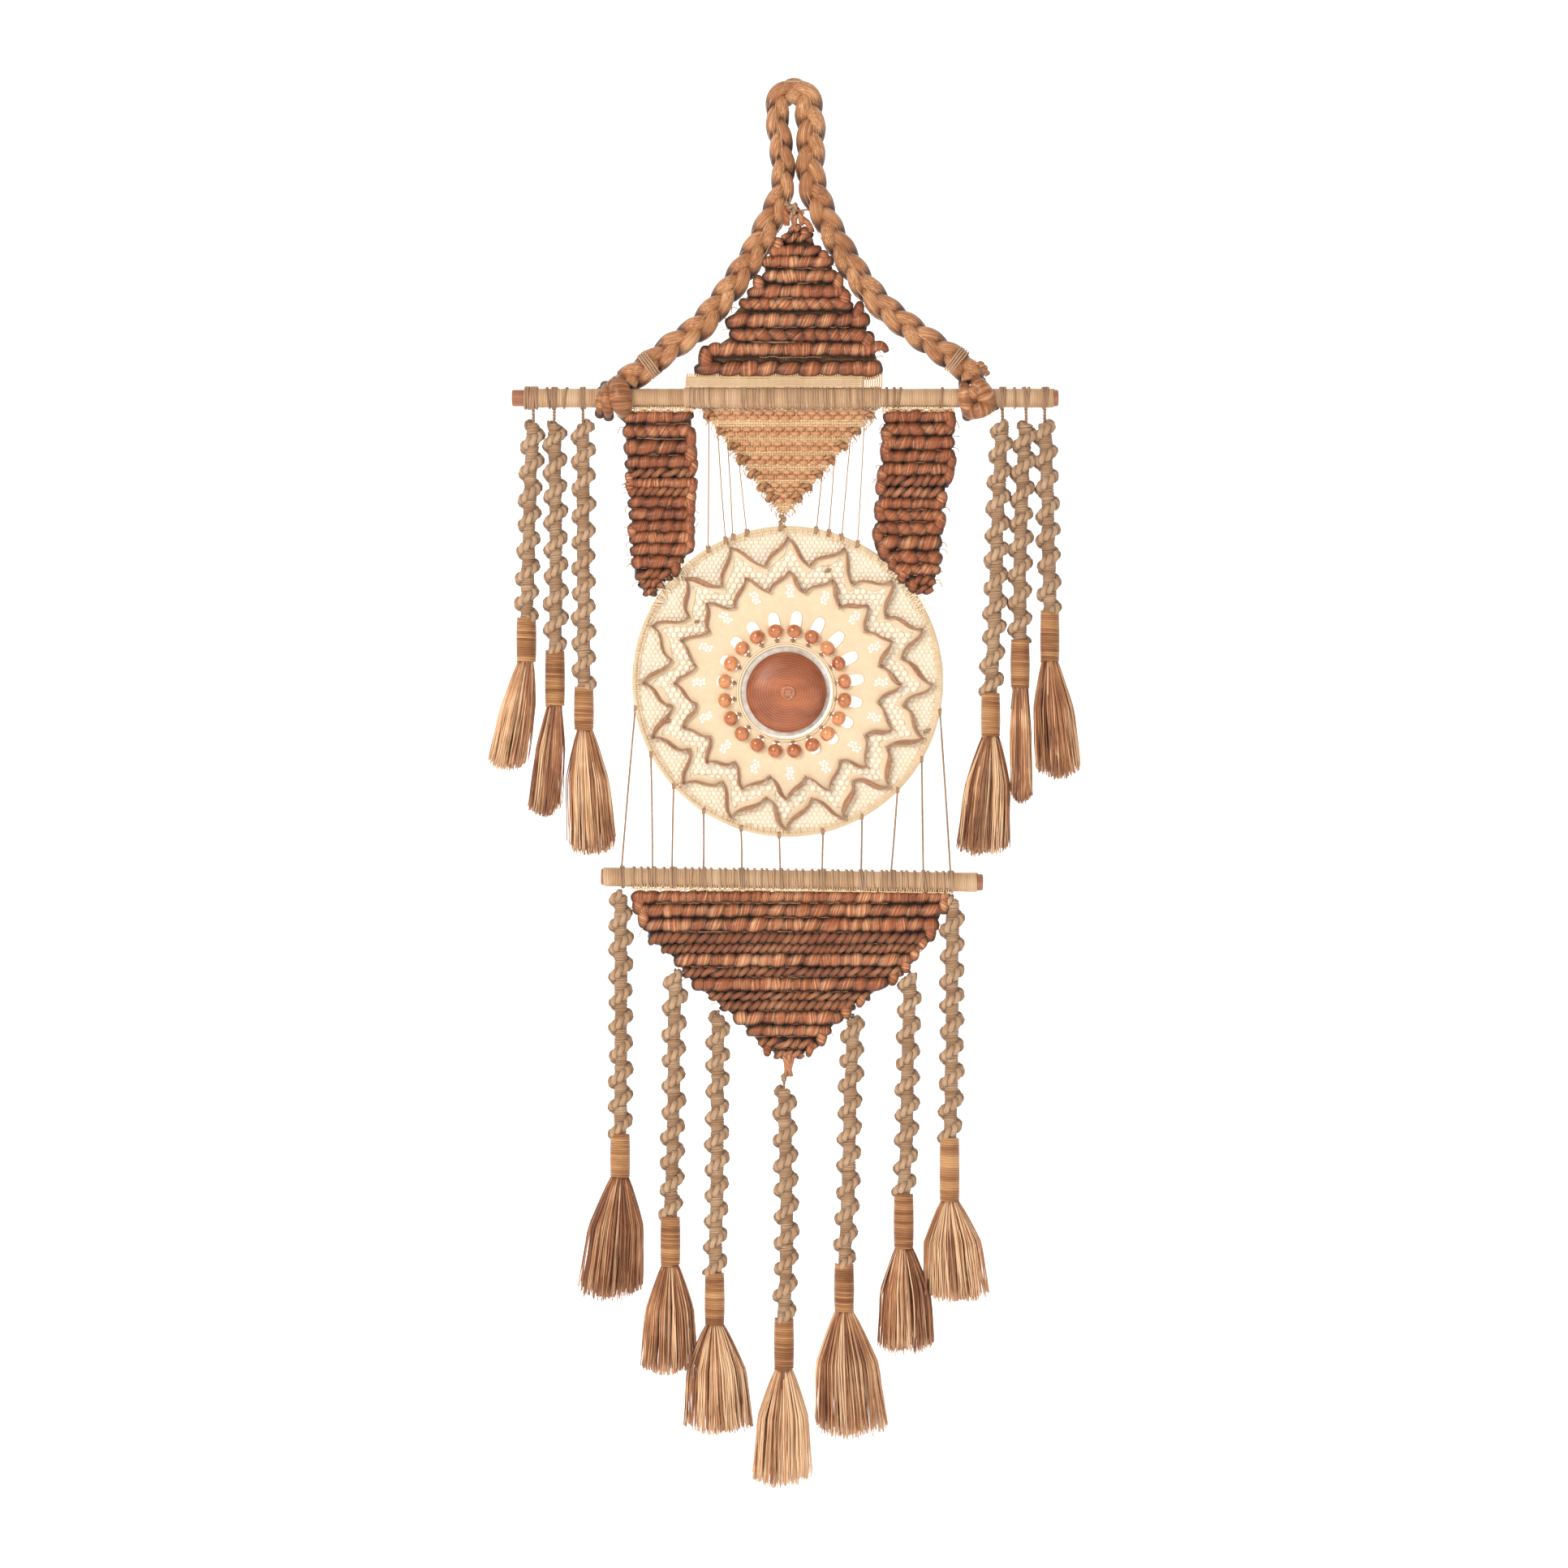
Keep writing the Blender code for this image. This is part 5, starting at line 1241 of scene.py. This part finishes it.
    # thin threads tie the ribbons down at each corner, and a few loose loops
    ties = []
    for corners, cx, cz in ((outer_corners, -4.7, -448.4), (inner_corners, -4.7, -449.7)):
        for p in corners:
            d = np.array([p[0] - cx, 0, p[2] - cz])
            d /= np.linalg.norm(d)
            a, b = p + d * 2.2, p - d * 2.2
            ties.append(line(smooth_path([a + (0, -0.3, 0), p + d * 0.9 + (0, -5.1, 0), p - d * 0.9 + (0, -5.2, 0),
                                          b + (0, -0.3, 0)], 0.8), 0.32, tone=rng.uniform(0.3, 0.9)))
    for x, z in ((26.6, -361.9), (-96.6, -478.1), (-74.1, -401.3), (102.8, -485.6)):
        for k in range(3):
            a = np.linspace(0, TAU * 0.9, 14)
            r = rng.uniform(1.6, 3.0)
            ties.append(line(np.stack([x + r * np.cos(a + k), -1.4 - 0.8 * np.sin(a), z + 0.6 * r * np.sin(a + k * 2)],
                                      axis=1), 0.35, tone=0.2))
    piece = strands("ribbon_ties", ties, finishes.made["tan_thread"], sides=6)
    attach(piece, "hoop")


def build_hoop():
    rng = random.Random(71)
    turns = 640
    n = turns * 8
    around = np.linspace(0, TAU, n, endpoint=False)
    a = around * turns
    mid, r = HOOP_R - 1.75, 1.65
    rr = mid + r * np.cos(a)
    tone = 0.5 + slow_noise(rng, n, 90) * 0.4
    coil = line(np.stack([HOOP_X + rr * np.sin(around), -2.3 * np.sin(a), HOOP_Z + rr * np.cos(around)], axis=1),
                0.52, tone=tone)
    core = line(np.array([(x, 0, z) for x, z in circle(HOOP_X, HOOP_Z, mid, 220)]), 1.5, tone=0.3)
    wound = strands("hoop_winding", [coil], finishes.made["lace_thread"], sides=6, closed=True)
    inside = strands("hoop_core", [core], finishes.made["wound_thread"], sides=10, closed=True)
    stitches = []
    # stitches that hold the lace to the band, all the way round
    for k in range(150):
        b = TAU * (k + rng.uniform(-0.2, 0.2)) / 150
        d = np.array([math.sin(b), 0, math.cos(b)])
        p = np.array([HOOP_X, 0, HOOP_Z])
        stitches.append(line(smooth_path([p + d * 113.2 + (0, -0.9, 0), p + d * 115.6 + (0, -2.0, 0),
                                          p + d * 117.6 + (0, -3.0, 0)], 0.9), 0.36, tone=rng.random()))
    # pale criss-cross stitches that tie the side panels to the band
    for lo, hi in ((-62, -40), (40, 62)):
        for k in range(26):
            b = math.radians(lo + (hi - lo) * k / 25 + rng.uniform(-1, 1))
            d = np.array([math.sin(b), 0, math.cos(b)])
            t = np.array([math.cos(b), 0, -math.sin(b)]) * rng.uniform(-3, 3)
            p = np.array([HOOP_X, 0, HOOP_Z])
            stitches.append(line(smooth_path([p + d * 113 + t + (0, -1.5, 0), p + d * 118 + (0, -3.3, 0),
                                              p + d * 123.5 - t + (0, -4.2, 0)], 1.0), 0.42,
                                 tone=rng.uniform(0.4, 1)))
    sewn = strands("hoop_stitches", stitches, finishes.made["lace_thread"], sides=6)
    for piece in (wound, inside, sewn):
        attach(piece, "hoop")
    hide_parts("hoop_ring")


# ---------------------------------------------------------------- boss and beads
def build_boss():
    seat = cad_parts["boss_seat"]
    seat.data.materials.clear()
    seat.data.materials.append(finishes.made["clear_ring"])
    work = bmesh.new()
    profile = [(0, 0), (BOSS_R - 0.6, 0), (BOSS_R, 0.6)]
    for k in range(1, 30):
        t = k / 30
        r = BOSS_R * math.cos(t * math.pi / 2) ** 0.9
        h = 0.6 + (BOSS_H - 1.5) * math.sin(t * math.pi / 2)
        groove = 0.10 if k % 3 == 0 else 0.0
        profile.append((r, h - groove))
    profile += [(4.6, BOSS_H - 1.5), (3.9, BOSS_H - 1.0), (3.3, BOSS_H - 0.95), (2.7, BOSS_H - 1.6),
                (2.0, BOSS_H - 0.75), (1.2, BOSS_H - 0.2), (0, BOSS_H - 0.1)]
    profile = [p for i, p in enumerate(profile) if i < 3 or p[0] > 4.8 or i > len(profile) - 8]
    place = Matrix.Translation(Vector(m3(BOSS_X, -1.3, BOSS_Z))) @ Matrix.Rotation(math.pi / 2, 4, "X")
    lathe(work, profile, 96, place)
    boss = finish_mesh("turned_boss", work, finishes.made["turned_wood"])
    set_tone(boss, [0.5] * len(boss.data.vertices))
    # the small rough nub left at the middle, which catches the light
    work = bmesh.new()
    top = BOSS_H - 0.6
    bumps = [(0, top - 1.6), (6.2, top - 1.6), (5.6, top - 0.3), (4.9, top + 0.5), (4.2, top + 0.1), (3.4, top - 0.4),
             (2.6, top + 0.2), (1.6, top + 1.0), (0.8, top + 1.1), (0, top + 0.9)]
    place = Matrix.Translation(Vector(m3(BOSS_X + 1.6, -1.3, BOSS_Z - 0.6))) @ Matrix.Rotation(math.pi / 2, 4, "X")
    lathe(work, bumps, 28, place)
    rng = random.Random(79)
    for vert in work.verts:
        if vert.co.y < -(1.3 + top - 1.0) * MM:
            vert.co.y += rng.uniform(-0.45, 0.35) * MM
    nub = finish_mesh("boss_nub", work, finishes.made["waxed_nub"])
    set_tone(nub, [0.6] * len(nub.data.vertices))
    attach(nub, "hoop")
    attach(boss, "hoop")
    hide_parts("centre_boss")


def build_beads():
    rng = random.Random(81)
    work = bmesh.new()
    tones = []
    knots = []
    for i in range(20):
        angle = math.radians(18 * (i + 0.5))
        x = BEADS_X + BEADS_R * math.sin(angle)
        z = BEADS_Z + BEADS_R * math.cos(angle)
        size = 5.8 * rng.uniform(0.96, 1.03)
        hole = 0.9
        profile = [(hole, -size * 0.93)]
        for k in range(1, 12):
            a = -math.pi / 2 + math.pi * k / 12
            profile.append((max(hole + 0.25, size * math.cos(a)), size * math.sin(a) * 0.96))
        profile += [(hole, size * 0.93), (hole, -size * 0.93)]
        before = len(work.verts)
        # the bead's hole points at the middle of the hoop
        place = Matrix.Translation(Vector(m3(x, -1.6, z))) @ Matrix.Rotation(angle, 4, "Y")
        lathe(work, profile, 24, place)
        work.verts.ensure_lookup_table()
        tones.append((len(work.verts) - before, rng.uniform(-0.35, 0.75)))
        d = np.array([math.sin(angle), 0, math.cos(angle)])
        c = np.array([x, -1.6, z])
        knots.append(line(even([c - d * 9.0 + (0, 0.6, 0), c - d * 5.0, c + d * 5.2], 1.0), 0.5, tone=0.4))
        for k in range(2):
            b = np.linspace(0, TAU * 0.95, 10)
            t = np.array([math.cos(angle), 0, -math.sin(angle)])
            ringed = c - d * (6.4 + k * 1.0) + np.outer(np.cos(b), t) * 1.3 + np.outer(np.sin(b), (0, 1, 0)) * 1.3
            knots.append(line(ringed, 0.55, tone=rng.uniform(0.1, 0.6)))
    beads = finish_mesh("wood_beads", work, finishes.made["bead_wood"])
    values = []
    for count, tone in tones:
        values += [tone] * count
    values += [0.5] * (len(beads.data.vertices) - len(values))
    set_tone(beads, values[:len(beads.data.vertices)])
    tied = strands("bead_threads", knots, finishes.made["dark_thread"], sides=6)
    for piece in (beads, tied):
        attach(piece, "hoop")
    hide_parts("bead_garland")


# ---------------------------------------------------------------- strings and drops
def build_strings():
    rng = random.Random(91)
    lines = []
    for xh, xl in STRINGS:
        # the first string meets the hoop where its band turns away
        r = HOOP_R - (0.5 if xh < -115 else 0.0)
        zh = HOOP_Z - math.sqrt(r ** 2 - (xh - HOOP_X) ** 2)
        zl = bar_z(xl) + 7.0
        path = smooth_path([(xh, -1.0, zh + 1.5), ((xh + xl) / 2 + rng.uniform(-0.3, 0.3), -1.6, (zh + zl) / 2),
                            (xl, -2.2, zl)], 1.2)
        # the plies get a little painted shade at their backs
        lines += plied(path, 0.85, 3.6, rng, tone=0.5, painted_shade_back=0.6)
        for k in range(3):
            a = np.linspace(0, TAU * 0.97, 12)
            knot = [xh + (k - 1) * 0.9 + 0 * a, -2.8 * np.sin(a) - 0.3, zh + 1.2 + 2.3 * np.cos(a)]
            lines.append(line(np.stack(knot, axis=1), 0.5, tone=0.4))
    piece = strands("lower_strings", lines, finishes.made["tan_thread"], sides=6)
    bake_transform(piece)
    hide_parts(*["lower_string_%02d" % (i + 1) for i in range(len(STRINGS))])


def sinnet_lines(path, rng, first):
    """A knotted cord: fine turns of jute about a core, and a fat two-ply jute that winds round it all the way down."""
    s = along(path)
    length = s[-1]
    at = lambda t: np.stack([np.interp(t, s, path[:, k]) for k in range(3)], axis=1)
    n = int((length - first) / 1.75 * 12)
    t = np.linspace(first, length, n)
    a = TAU * (t - first) / 1.75
    r = 4.25 + slow_noise(rng, n, int(length / 5)) * 0.45
    r *= np.clip((t - first) / 2.5 + 0.55, 0, 1)
    column = at(t) + np.stack([r * np.cos(a), -r * np.sin(a) * 0.92, slow_noise(rng, n, int(length / 2)) * 0.5], axis=1)
    # painted shade: the fine turns a little darker, the core under them darker still
    lines = [line(column, 0.98, shade=0.9, tone=0.45 + slow_noise(rng, n, int(length / 3)) * 0.4)]
    lines.append(line(at(np.arange(first, length, 3.0)), 4.3, shade=0.5, tone=0.3))
    pitch = sizes().sinnet_pitch
    n = int((length - first + 1) / 0.8)
    t = np.linspace(first - 1, length, n)
    a = TAU * (t - first) / pitch + slow_noise(rng, n, 4 + int(length / 30)) * 0.45 + rng.uniform(0, TAU)
    r = (6.0 + slow_noise(rng, n, int(length / 8)) * 0.5) * np.clip((t - first) / 4.0 + 0.5, 0, 1)
    winding_path = at(t) + np.stack([r * np.cos(a), -r * np.sin(a) * 0.9, np.zeros(n)], axis=1)
    fat = 3.8 + slow_noise(rng, 40, 30) * 0.35
    # the fat jute's plies get painted shade at their backs
    lines += plied(winding_path, list(fat), 11.5, rng, tone=0.6, step=0.9, painted_shade_back=0.3)
    return lines


def bind_lines(path, rng, radius, pale=None):
    """Fine thread wound round the head of a tassel. pale is where, from 0 at the top to 1, it is lighter."""
    turns = path_length(path) / 1.75
    swell = radius * (0.93 + 0.09 * np.sin(np.linspace(0.2, math.pi - 0.3, len(path))))
    points = helix(path, swell, turns, 14)
    tone = 0.45 + slow_noise(rng, len(points), int(turns) + 3) * 0.45
    if pale:
        spot = np.linspace(0, 1, len(points))
        tone = tone + 1.1 * np.exp(-((spot - pale) / 0.07) ** 2)
    return [line(points, 0.98, tone=tone)]


def tassel_lines(x, z0, z1, left, right, count, rng, base):
    """Loose strands in clumps that spread from under the binding and end unevenly."""
    clumps = []
    for _ in range(34):
        a = rng.uniform(0, TAU)
        r = math.sqrt(rng.random())
        clumps.append((r * math.cos(a), r * math.sin(a), rng.uniform(-0.5, 0.5), rng.uniform(0.93, 1.0)))
    lines = []
    middle, half = (left + right) / 2, (right - left) / 2
    deep = min(13.5, half * 0.72 + 2.0)
    for j in range(count):
        u, v, tone, long = clumps[j % len(clumps)]
        u2, v2 = u + rng.gauss(0, 0.17), v + rng.gauss(0, 0.2)
        size = math.hypot(u2, v2)
        if size > 1.0:
            u2, v2 = u2 / size, v2 / size
        start_r = rng.uniform(0.4, 1.0) * 5.8
        sx, sy = start_r * u2, start_r * v2
        length = long * rng.uniform(0.95, 1.0) - 0.07 * u2 * u2
        if rng.random() < 0.18:
            length *= rng.uniform(0.65, 0.97)
        n = 10
        reach = np.linspace(0, 1, n) * length
        flare = 0.66 * np.clip(reach * 2.4, 0, 1) ** 0.85 * (1 - 0.14 * reach) + 0.43 * reach
        wave = rng.uniform(0, TAU)
        wobble = 0.8 * np.sin(wave + reach * rng.uniform(4, 9)) * reach
        px = x + (middle - x) * reach ** 1.05 + sx * (1 - flare) + half * 0.97 * u2 * flare + wobble
        py = sy * (1 - flare) + deep * v2 * flare + 0.6 * np.cos(wave * 2 + reach * 6) * reach
        pz = z0 + 2.0 + (z1 - z0 - 2.0) * reach
        # painted shade: strands darker near the binding and at the back of the tassel, lighter towards their ends
        shade = np.clip(0.5 + 0.3 * (0.5 - 0.5 * v2) + 0.7 * reach, 0, 1)
        lines.append(line(np.stack([px, py, pz], axis=1), np.linspace(0.6, 0.34, n),
                          tone=base + 0.75 * tone + rng.uniform(-0.25, 0.25), shade=shade))
    return lines


def build_drops():
    for index, (key, values) in enumerate(DROPS.items()):
        rng = random.Random(100 + index)
        xt, zt, xl, xb, bind_top, bind_low, end, left, right = values
        side = key in "abcdef"
        body = "drop_" + key
        first = 11.5 if side or key == "j" else 4.0
        start = (xt, 0.0, zt if side else (zt - 8.0 if key == "j" else zt - 1.0))
        route = [start, (xt, 0, zt - 14), (xl + (xt - xl) * 0.4, 0, zt + (bind_top - zt) * 0.35),
                 (xl, 0, zt + (bind_top - zt) * 0.7), (xb, 0, bind_top)]
        path = smooth_path(route, 2.0)
        lines = sinnet_lines(path, rng, first)
        head = even(path[:int(first / 2) + 3], 1.0)
        # painted shade at the backs of the head's plies
        lines += plied(head, [2.8, 2.4, 1.2, 1.0, 1.4] if key == "j" else 1.35, 5.0, rng, tone=0.6, painted_shade_back=0.5)
        cord = strands(body + "_cord", lines, finishes.made["jute"], sides=8)
        lean = math.atan2(xb - xl, bind_top - zt)
        foot = (xb + math.sin(lean) * 2, 0, bind_low)
        neck = even([(xb, 0, bind_top + 1.0), foot], 2.0)
        pale = {"m": 0.38, "i": 0.42}.get(key)
        bound = bind_lines(neck, rng, 6.6 if key in "def" else 6.9, pale)
        # the core under the binding carries painted shade
        bound.append(line(neck, 6.0, tone=0.3, shade=0.6))
        binding = strands(body + "_binding", bound, finishes.made["binding_thread"], sides=8)
        base = {"j": 0.8, "g": 0.42, "a": 0.6, "m": 0.6, "k": 0.6}.get(key, 0.5)
        hair = tassel_lines(foot[0], bind_low, end, left, right, sizes().tassel_strands, rng, base)
        skirt = even([(foot[0], 0, bind_low + 1), (foot[0] * 0.8 + (left + right) * 0.1, 0, bind_low - 16)], 2.0)
        # a filled cone inside the tassel, darker by painted shade
        hair.append(line(skirt, np.linspace(5.6, 7.5, len(skirt)), tone=0.3, shade=0.5))
        tassel = strands(body + "_loose_ends", hair, finishes.made["loose_sisal"], sides=4)
        for piece, node, slot in ((cord, "_sinnet", "jute"), (tassel, "_tassel", "tassel_fibre"),
                                  (binding, None, "tassel_fibre")):
            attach(piece, body)
            if node:
                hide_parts(body + node)


# ---------------------------------------------------------------- stage
def build_stage():
    scene = bpy.context.scene
    colours = scene.catcher_colours
    wall_finish = bpy.data.materials.new("stage_paint")
    wall_finish.use_nodes = True
    w = Wiring(wall_finish.node_tree)
    shader = wall_finish.node_tree.nodes["Principled BSDF"]
    shader.inputs["Base Color"].default_value = colours.backdrop
    shader.inputs["Roughness"].default_value = 0.9
    shader.inputs["Specular IOR Level"].default_value = 0.1
    shader.inputs["Emission Color"].default_value = colours.backdrop
    shader.inputs["Emission Strength"].default_value = 0.38
    clear = w.add("ShaderNodeBsdfTransparent")
    both = w.add("ShaderNodeMixShader", {0: w.add("ShaderNodeNewGeometry").outputs["Backfacing"],
                                         1: shader.outputs[0], 2: clear.outputs[0]})
    w.tree.links.new(both.outputs[0], wall_finish.node_tree.nodes["Material Output"].inputs[0])
    work = bmesh.new()
    foot = work.verts.new((-5, -4, -1.32))
    turn = work.verts.new((-5, -0.08, -1.32))
    work.edges.new((foot, turn))
    made = bmesh.ops.spin(work, geom=[turn], cent=(-5, -0.08, -0.92), axis=(1, 0, 0), angle=math.pi / 2, steps=12)
    last = [g for g in made["geom_last"] if isinstance(g, bmesh.types.BMVert)][0]
    high = work.verts.new((last.co.x, last.co.y, 2.6))
    work.edges.new((last, high))
    swept = bmesh.ops.extrude_edge_only(work, edges=work.edges[:])
    bmesh.ops.translate(work, verts=[g for g in swept["geom"] if isinstance(g, bmesh.types.BMVert)], vec=(10, 0, 0))
    bmesh.ops.recalc_face_normals(work, faces=work.faces)
    work.faces.ensure_lookup_table()
    if work.faces[0].normal.z < 0:
        bmesh.ops.reverse_faces(work, faces=work.faces)
    mesh = bpy.data.meshes.new("pale_cove")
    work.to_mesh(mesh)
    work.free()
    mesh.polygons.foreach_set("use_smooth", [True] * len(mesh.polygons))
    cove = add_object("pale_cove", mesh, wall_finish)

    world = bpy.data.worlds.new("soft_room")
    world.use_nodes = True
    world.node_tree.nodes["Background"].inputs[0].default_value = (1.0, 1.0, 1.0, 1.0)
    world.node_tree.nodes["Background"].inputs[1].default_value = 0.42
    scene.world = world
    middle = Vector((-0.007, 0.0, -0.52))
    for name, place, size, power in (("key_light", (-1.9, -2.7, 1.0), 1.3, 88.0),
                                     ("fill_light", (2.2, -2.8, -0.4), 2.0, 20.0),
                                     ("back_light", (1.0, 2.6, 1.2), 2.0, 18.0)):
        lamp = bpy.data.lights.new(name, "AREA")
        lamp.shape = "SQUARE"
        lamp.size = size
        lamp.energy = power
        lamp.color = colours.light
        holder = bpy.data.objects.new(name, lamp)
        holder.location = place
        holder.rotation_euler = (middle - Vector(place)).to_track_quat("-Z", "Y").to_euler()
        scene.collection.objects.link(holder)
    camera = bpy.data.cameras.new("front_camera")
    camera.sensor_width = 36.0
    camera.lens = 89.44
    holder = bpy.data.objects.new("front_camera", camera)
    holder.location = (-0.0072, -3.0, -0.5263)
    holder.rotation_euler = (math.pi / 2, 0, 0)
    scene.collection.objects.link(holder)
    scene.camera = holder
    scene.view_settings.view_transform = "Standard"


# ---------------------------------------------------------------- operators, panel and run
class CATCHER_OT_finishes(bpy.types.Operator):
    """Make every material once, with the node groups that they share"""

    bl_idname = "catcher.finishes"
    bl_label = "Make Finishes"

    def execute(self, context):
        make_finishes()
        return {"FINISHED"}


class CATCHER_OT_braid(bpy.types.Operator):
    """Plait the hanging braid with its bindings and the tie where its legs meet"""

    bl_idname = "catcher.braid"
    bl_label = "Build Braid"

    def execute(self, context):
        build_braid()
        return {"FINISHED"}


class CATCHER_OT_knots(bpy.types.Operator):
    """Tie the braid's two fat knots round the top rod"""

    bl_idname = "catcher.knots"
    bl_label = "Tie Knots"

    def execute(self, context):
        build_knots()
        return {"FINISHED"}


class CATCHER_OT_rods(bpy.types.Operator):
    """Finish the two wooden rods and wind their threads"""

    bl_idname = "catcher.rods"
    bl_label = "Wind Rods"

    def execute(self, context):
        build_rods()
        return {"FINISHED"}


class CATCHER_OT_coils(bpy.types.Operator):
    """Weave the four panels of thick coil on their thin cloths"""

    bl_idname = "catcher.coils"
    bl_label = "Weave Coil Panels"

    def execute(self, context):
        build_coil_panels()
        return {"FINISHED"}


class CATCHER_OT_cloth(bpy.types.Operator):
    """Weave the pale cloth with its bands, tufts and fringe"""

    bl_idname = "catcher.cloth"
    bl_label = "Weave Plain Cloth"

    def execute(self, context):
        build_plain_cloth()
        return {"FINISHED"}


class CATCHER_OT_hoop(bpy.types.Operator):
    """Wind the hoop and stitch its edge"""

    bl_idname = "catcher.hoop"
    bl_label = "Wind Hoop"

    def execute(self, context):
        build_hoop()
        return {"FINISHED"}


class CATCHER_OT_lace(bpy.types.Operator):
    """Make the lace star, its nets and the two zigzag ribbons"""

    bl_idname = "catcher.lace"
    bl_label = "Make Lace"

    def execute(self, context):
        build_lace()
        return {"FINISHED"}


class CATCHER_OT_boss(bpy.types.Operator):
    """Turn the wooden boss in the middle and finish its clear seat"""

    bl_idname = "catcher.boss"
    bl_label = "Turn Boss"

    def execute(self, context):
        build_boss()
        return {"FINISHED"}


class CATCHER_OT_beads(bpy.types.Operator):
    """Turn the wooden beads and tie them in their eyelets"""

    bl_idname = "catcher.beads"
    bl_label = "Thread Beads"

    def execute(self, context):
        build_beads()
        return {"FINISHED"}


class CATCHER_OT_strings(bpy.types.Operator):
    """Tie the strings between the hoop and the lower rod"""

    bl_idname = "catcher.strings"
    bl_label = "Tie Strings"

    def execute(self, context):
        build_strings()
        return {"FINISHED"}


class CATCHER_OT_drops(bpy.types.Operator):
    """Knot the hanging cords, bind their ends and spread their tassels"""

    bl_idname = "catcher.drops"
    bl_label = "Knot Drops"

    def execute(self, context):
        build_drops()
        return {"FINISHED"}


class CATCHER_OT_stage(bpy.types.Operator):
    """Set the pale cove, the soft lights and the camera"""

    bl_idname = "catcher.stage"
    bl_label = "Set Stage"

    def execute(self, context):
        build_stage()
        return {"FINISHED"}


OPERATORS = (
    CATCHER_OT_finishes,
    CATCHER_OT_braid,
    CATCHER_OT_knots,
    CATCHER_OT_rods,
    CATCHER_OT_coils,
    CATCHER_OT_cloth,
    CATCHER_OT_hoop,
    CATCHER_OT_lace,
    CATCHER_OT_boss,
    CATCHER_OT_beads,
    CATCHER_OT_strings,
    CATCHER_OT_drops,
    CATCHER_OT_stage,
)


class CATCHER_PT_maker(bpy.types.Panel):
    """Sizes, colours and the steps that build the dream catcher"""

    bl_idname = "CATCHER_PT_maker"
    bl_label = "Dream Catcher"
    bl_space_type = "VIEW_3D"
    bl_region_type = "UI"
    bl_category = "Dream Catcher"

    def draw(self, context):
        for group in (context.scene.catcher_sizes, context.scene.catcher_colours):
            column = self.layout.column(align=True)
            for name in group.__annotations__:
                column.prop(group, name)
        column = self.layout.column(align=True)
        for step in OPERATORS:
            column.operator(step.bl_idname)


CLASSES = (CatcherSizes, CatcherColours) + OPERATORS + (CATCHER_PT_maker,)


def register():
    for item in CLASSES:
        bpy.utils.register_class(item)
    bpy.types.Scene.catcher_sizes = PointerProperty(type=CatcherSizes)
    bpy.types.Scene.catcher_colours = PointerProperty(type=CatcherColours)


def unregister():
    del bpy.types.Scene.catcher_colours
    del bpy.types.Scene.catcher_sizes
    for item in reversed(CLASSES):
        bpy.utils.unregister_class(item)


def main():
    """Build the whole dream catcher."""
    register()
    steps = bpy.ops.catcher
    steps.stage()
    steps.finishes()
    steps.braid()
    steps.drops()
    steps.strings()
    steps.knots()
    steps.rods()
    steps.coils()
    steps.cloth()
    steps.hoop()
    steps.lace()
    steps.boss()
    steps.beads()


if __name__ == "__main__":
    main()
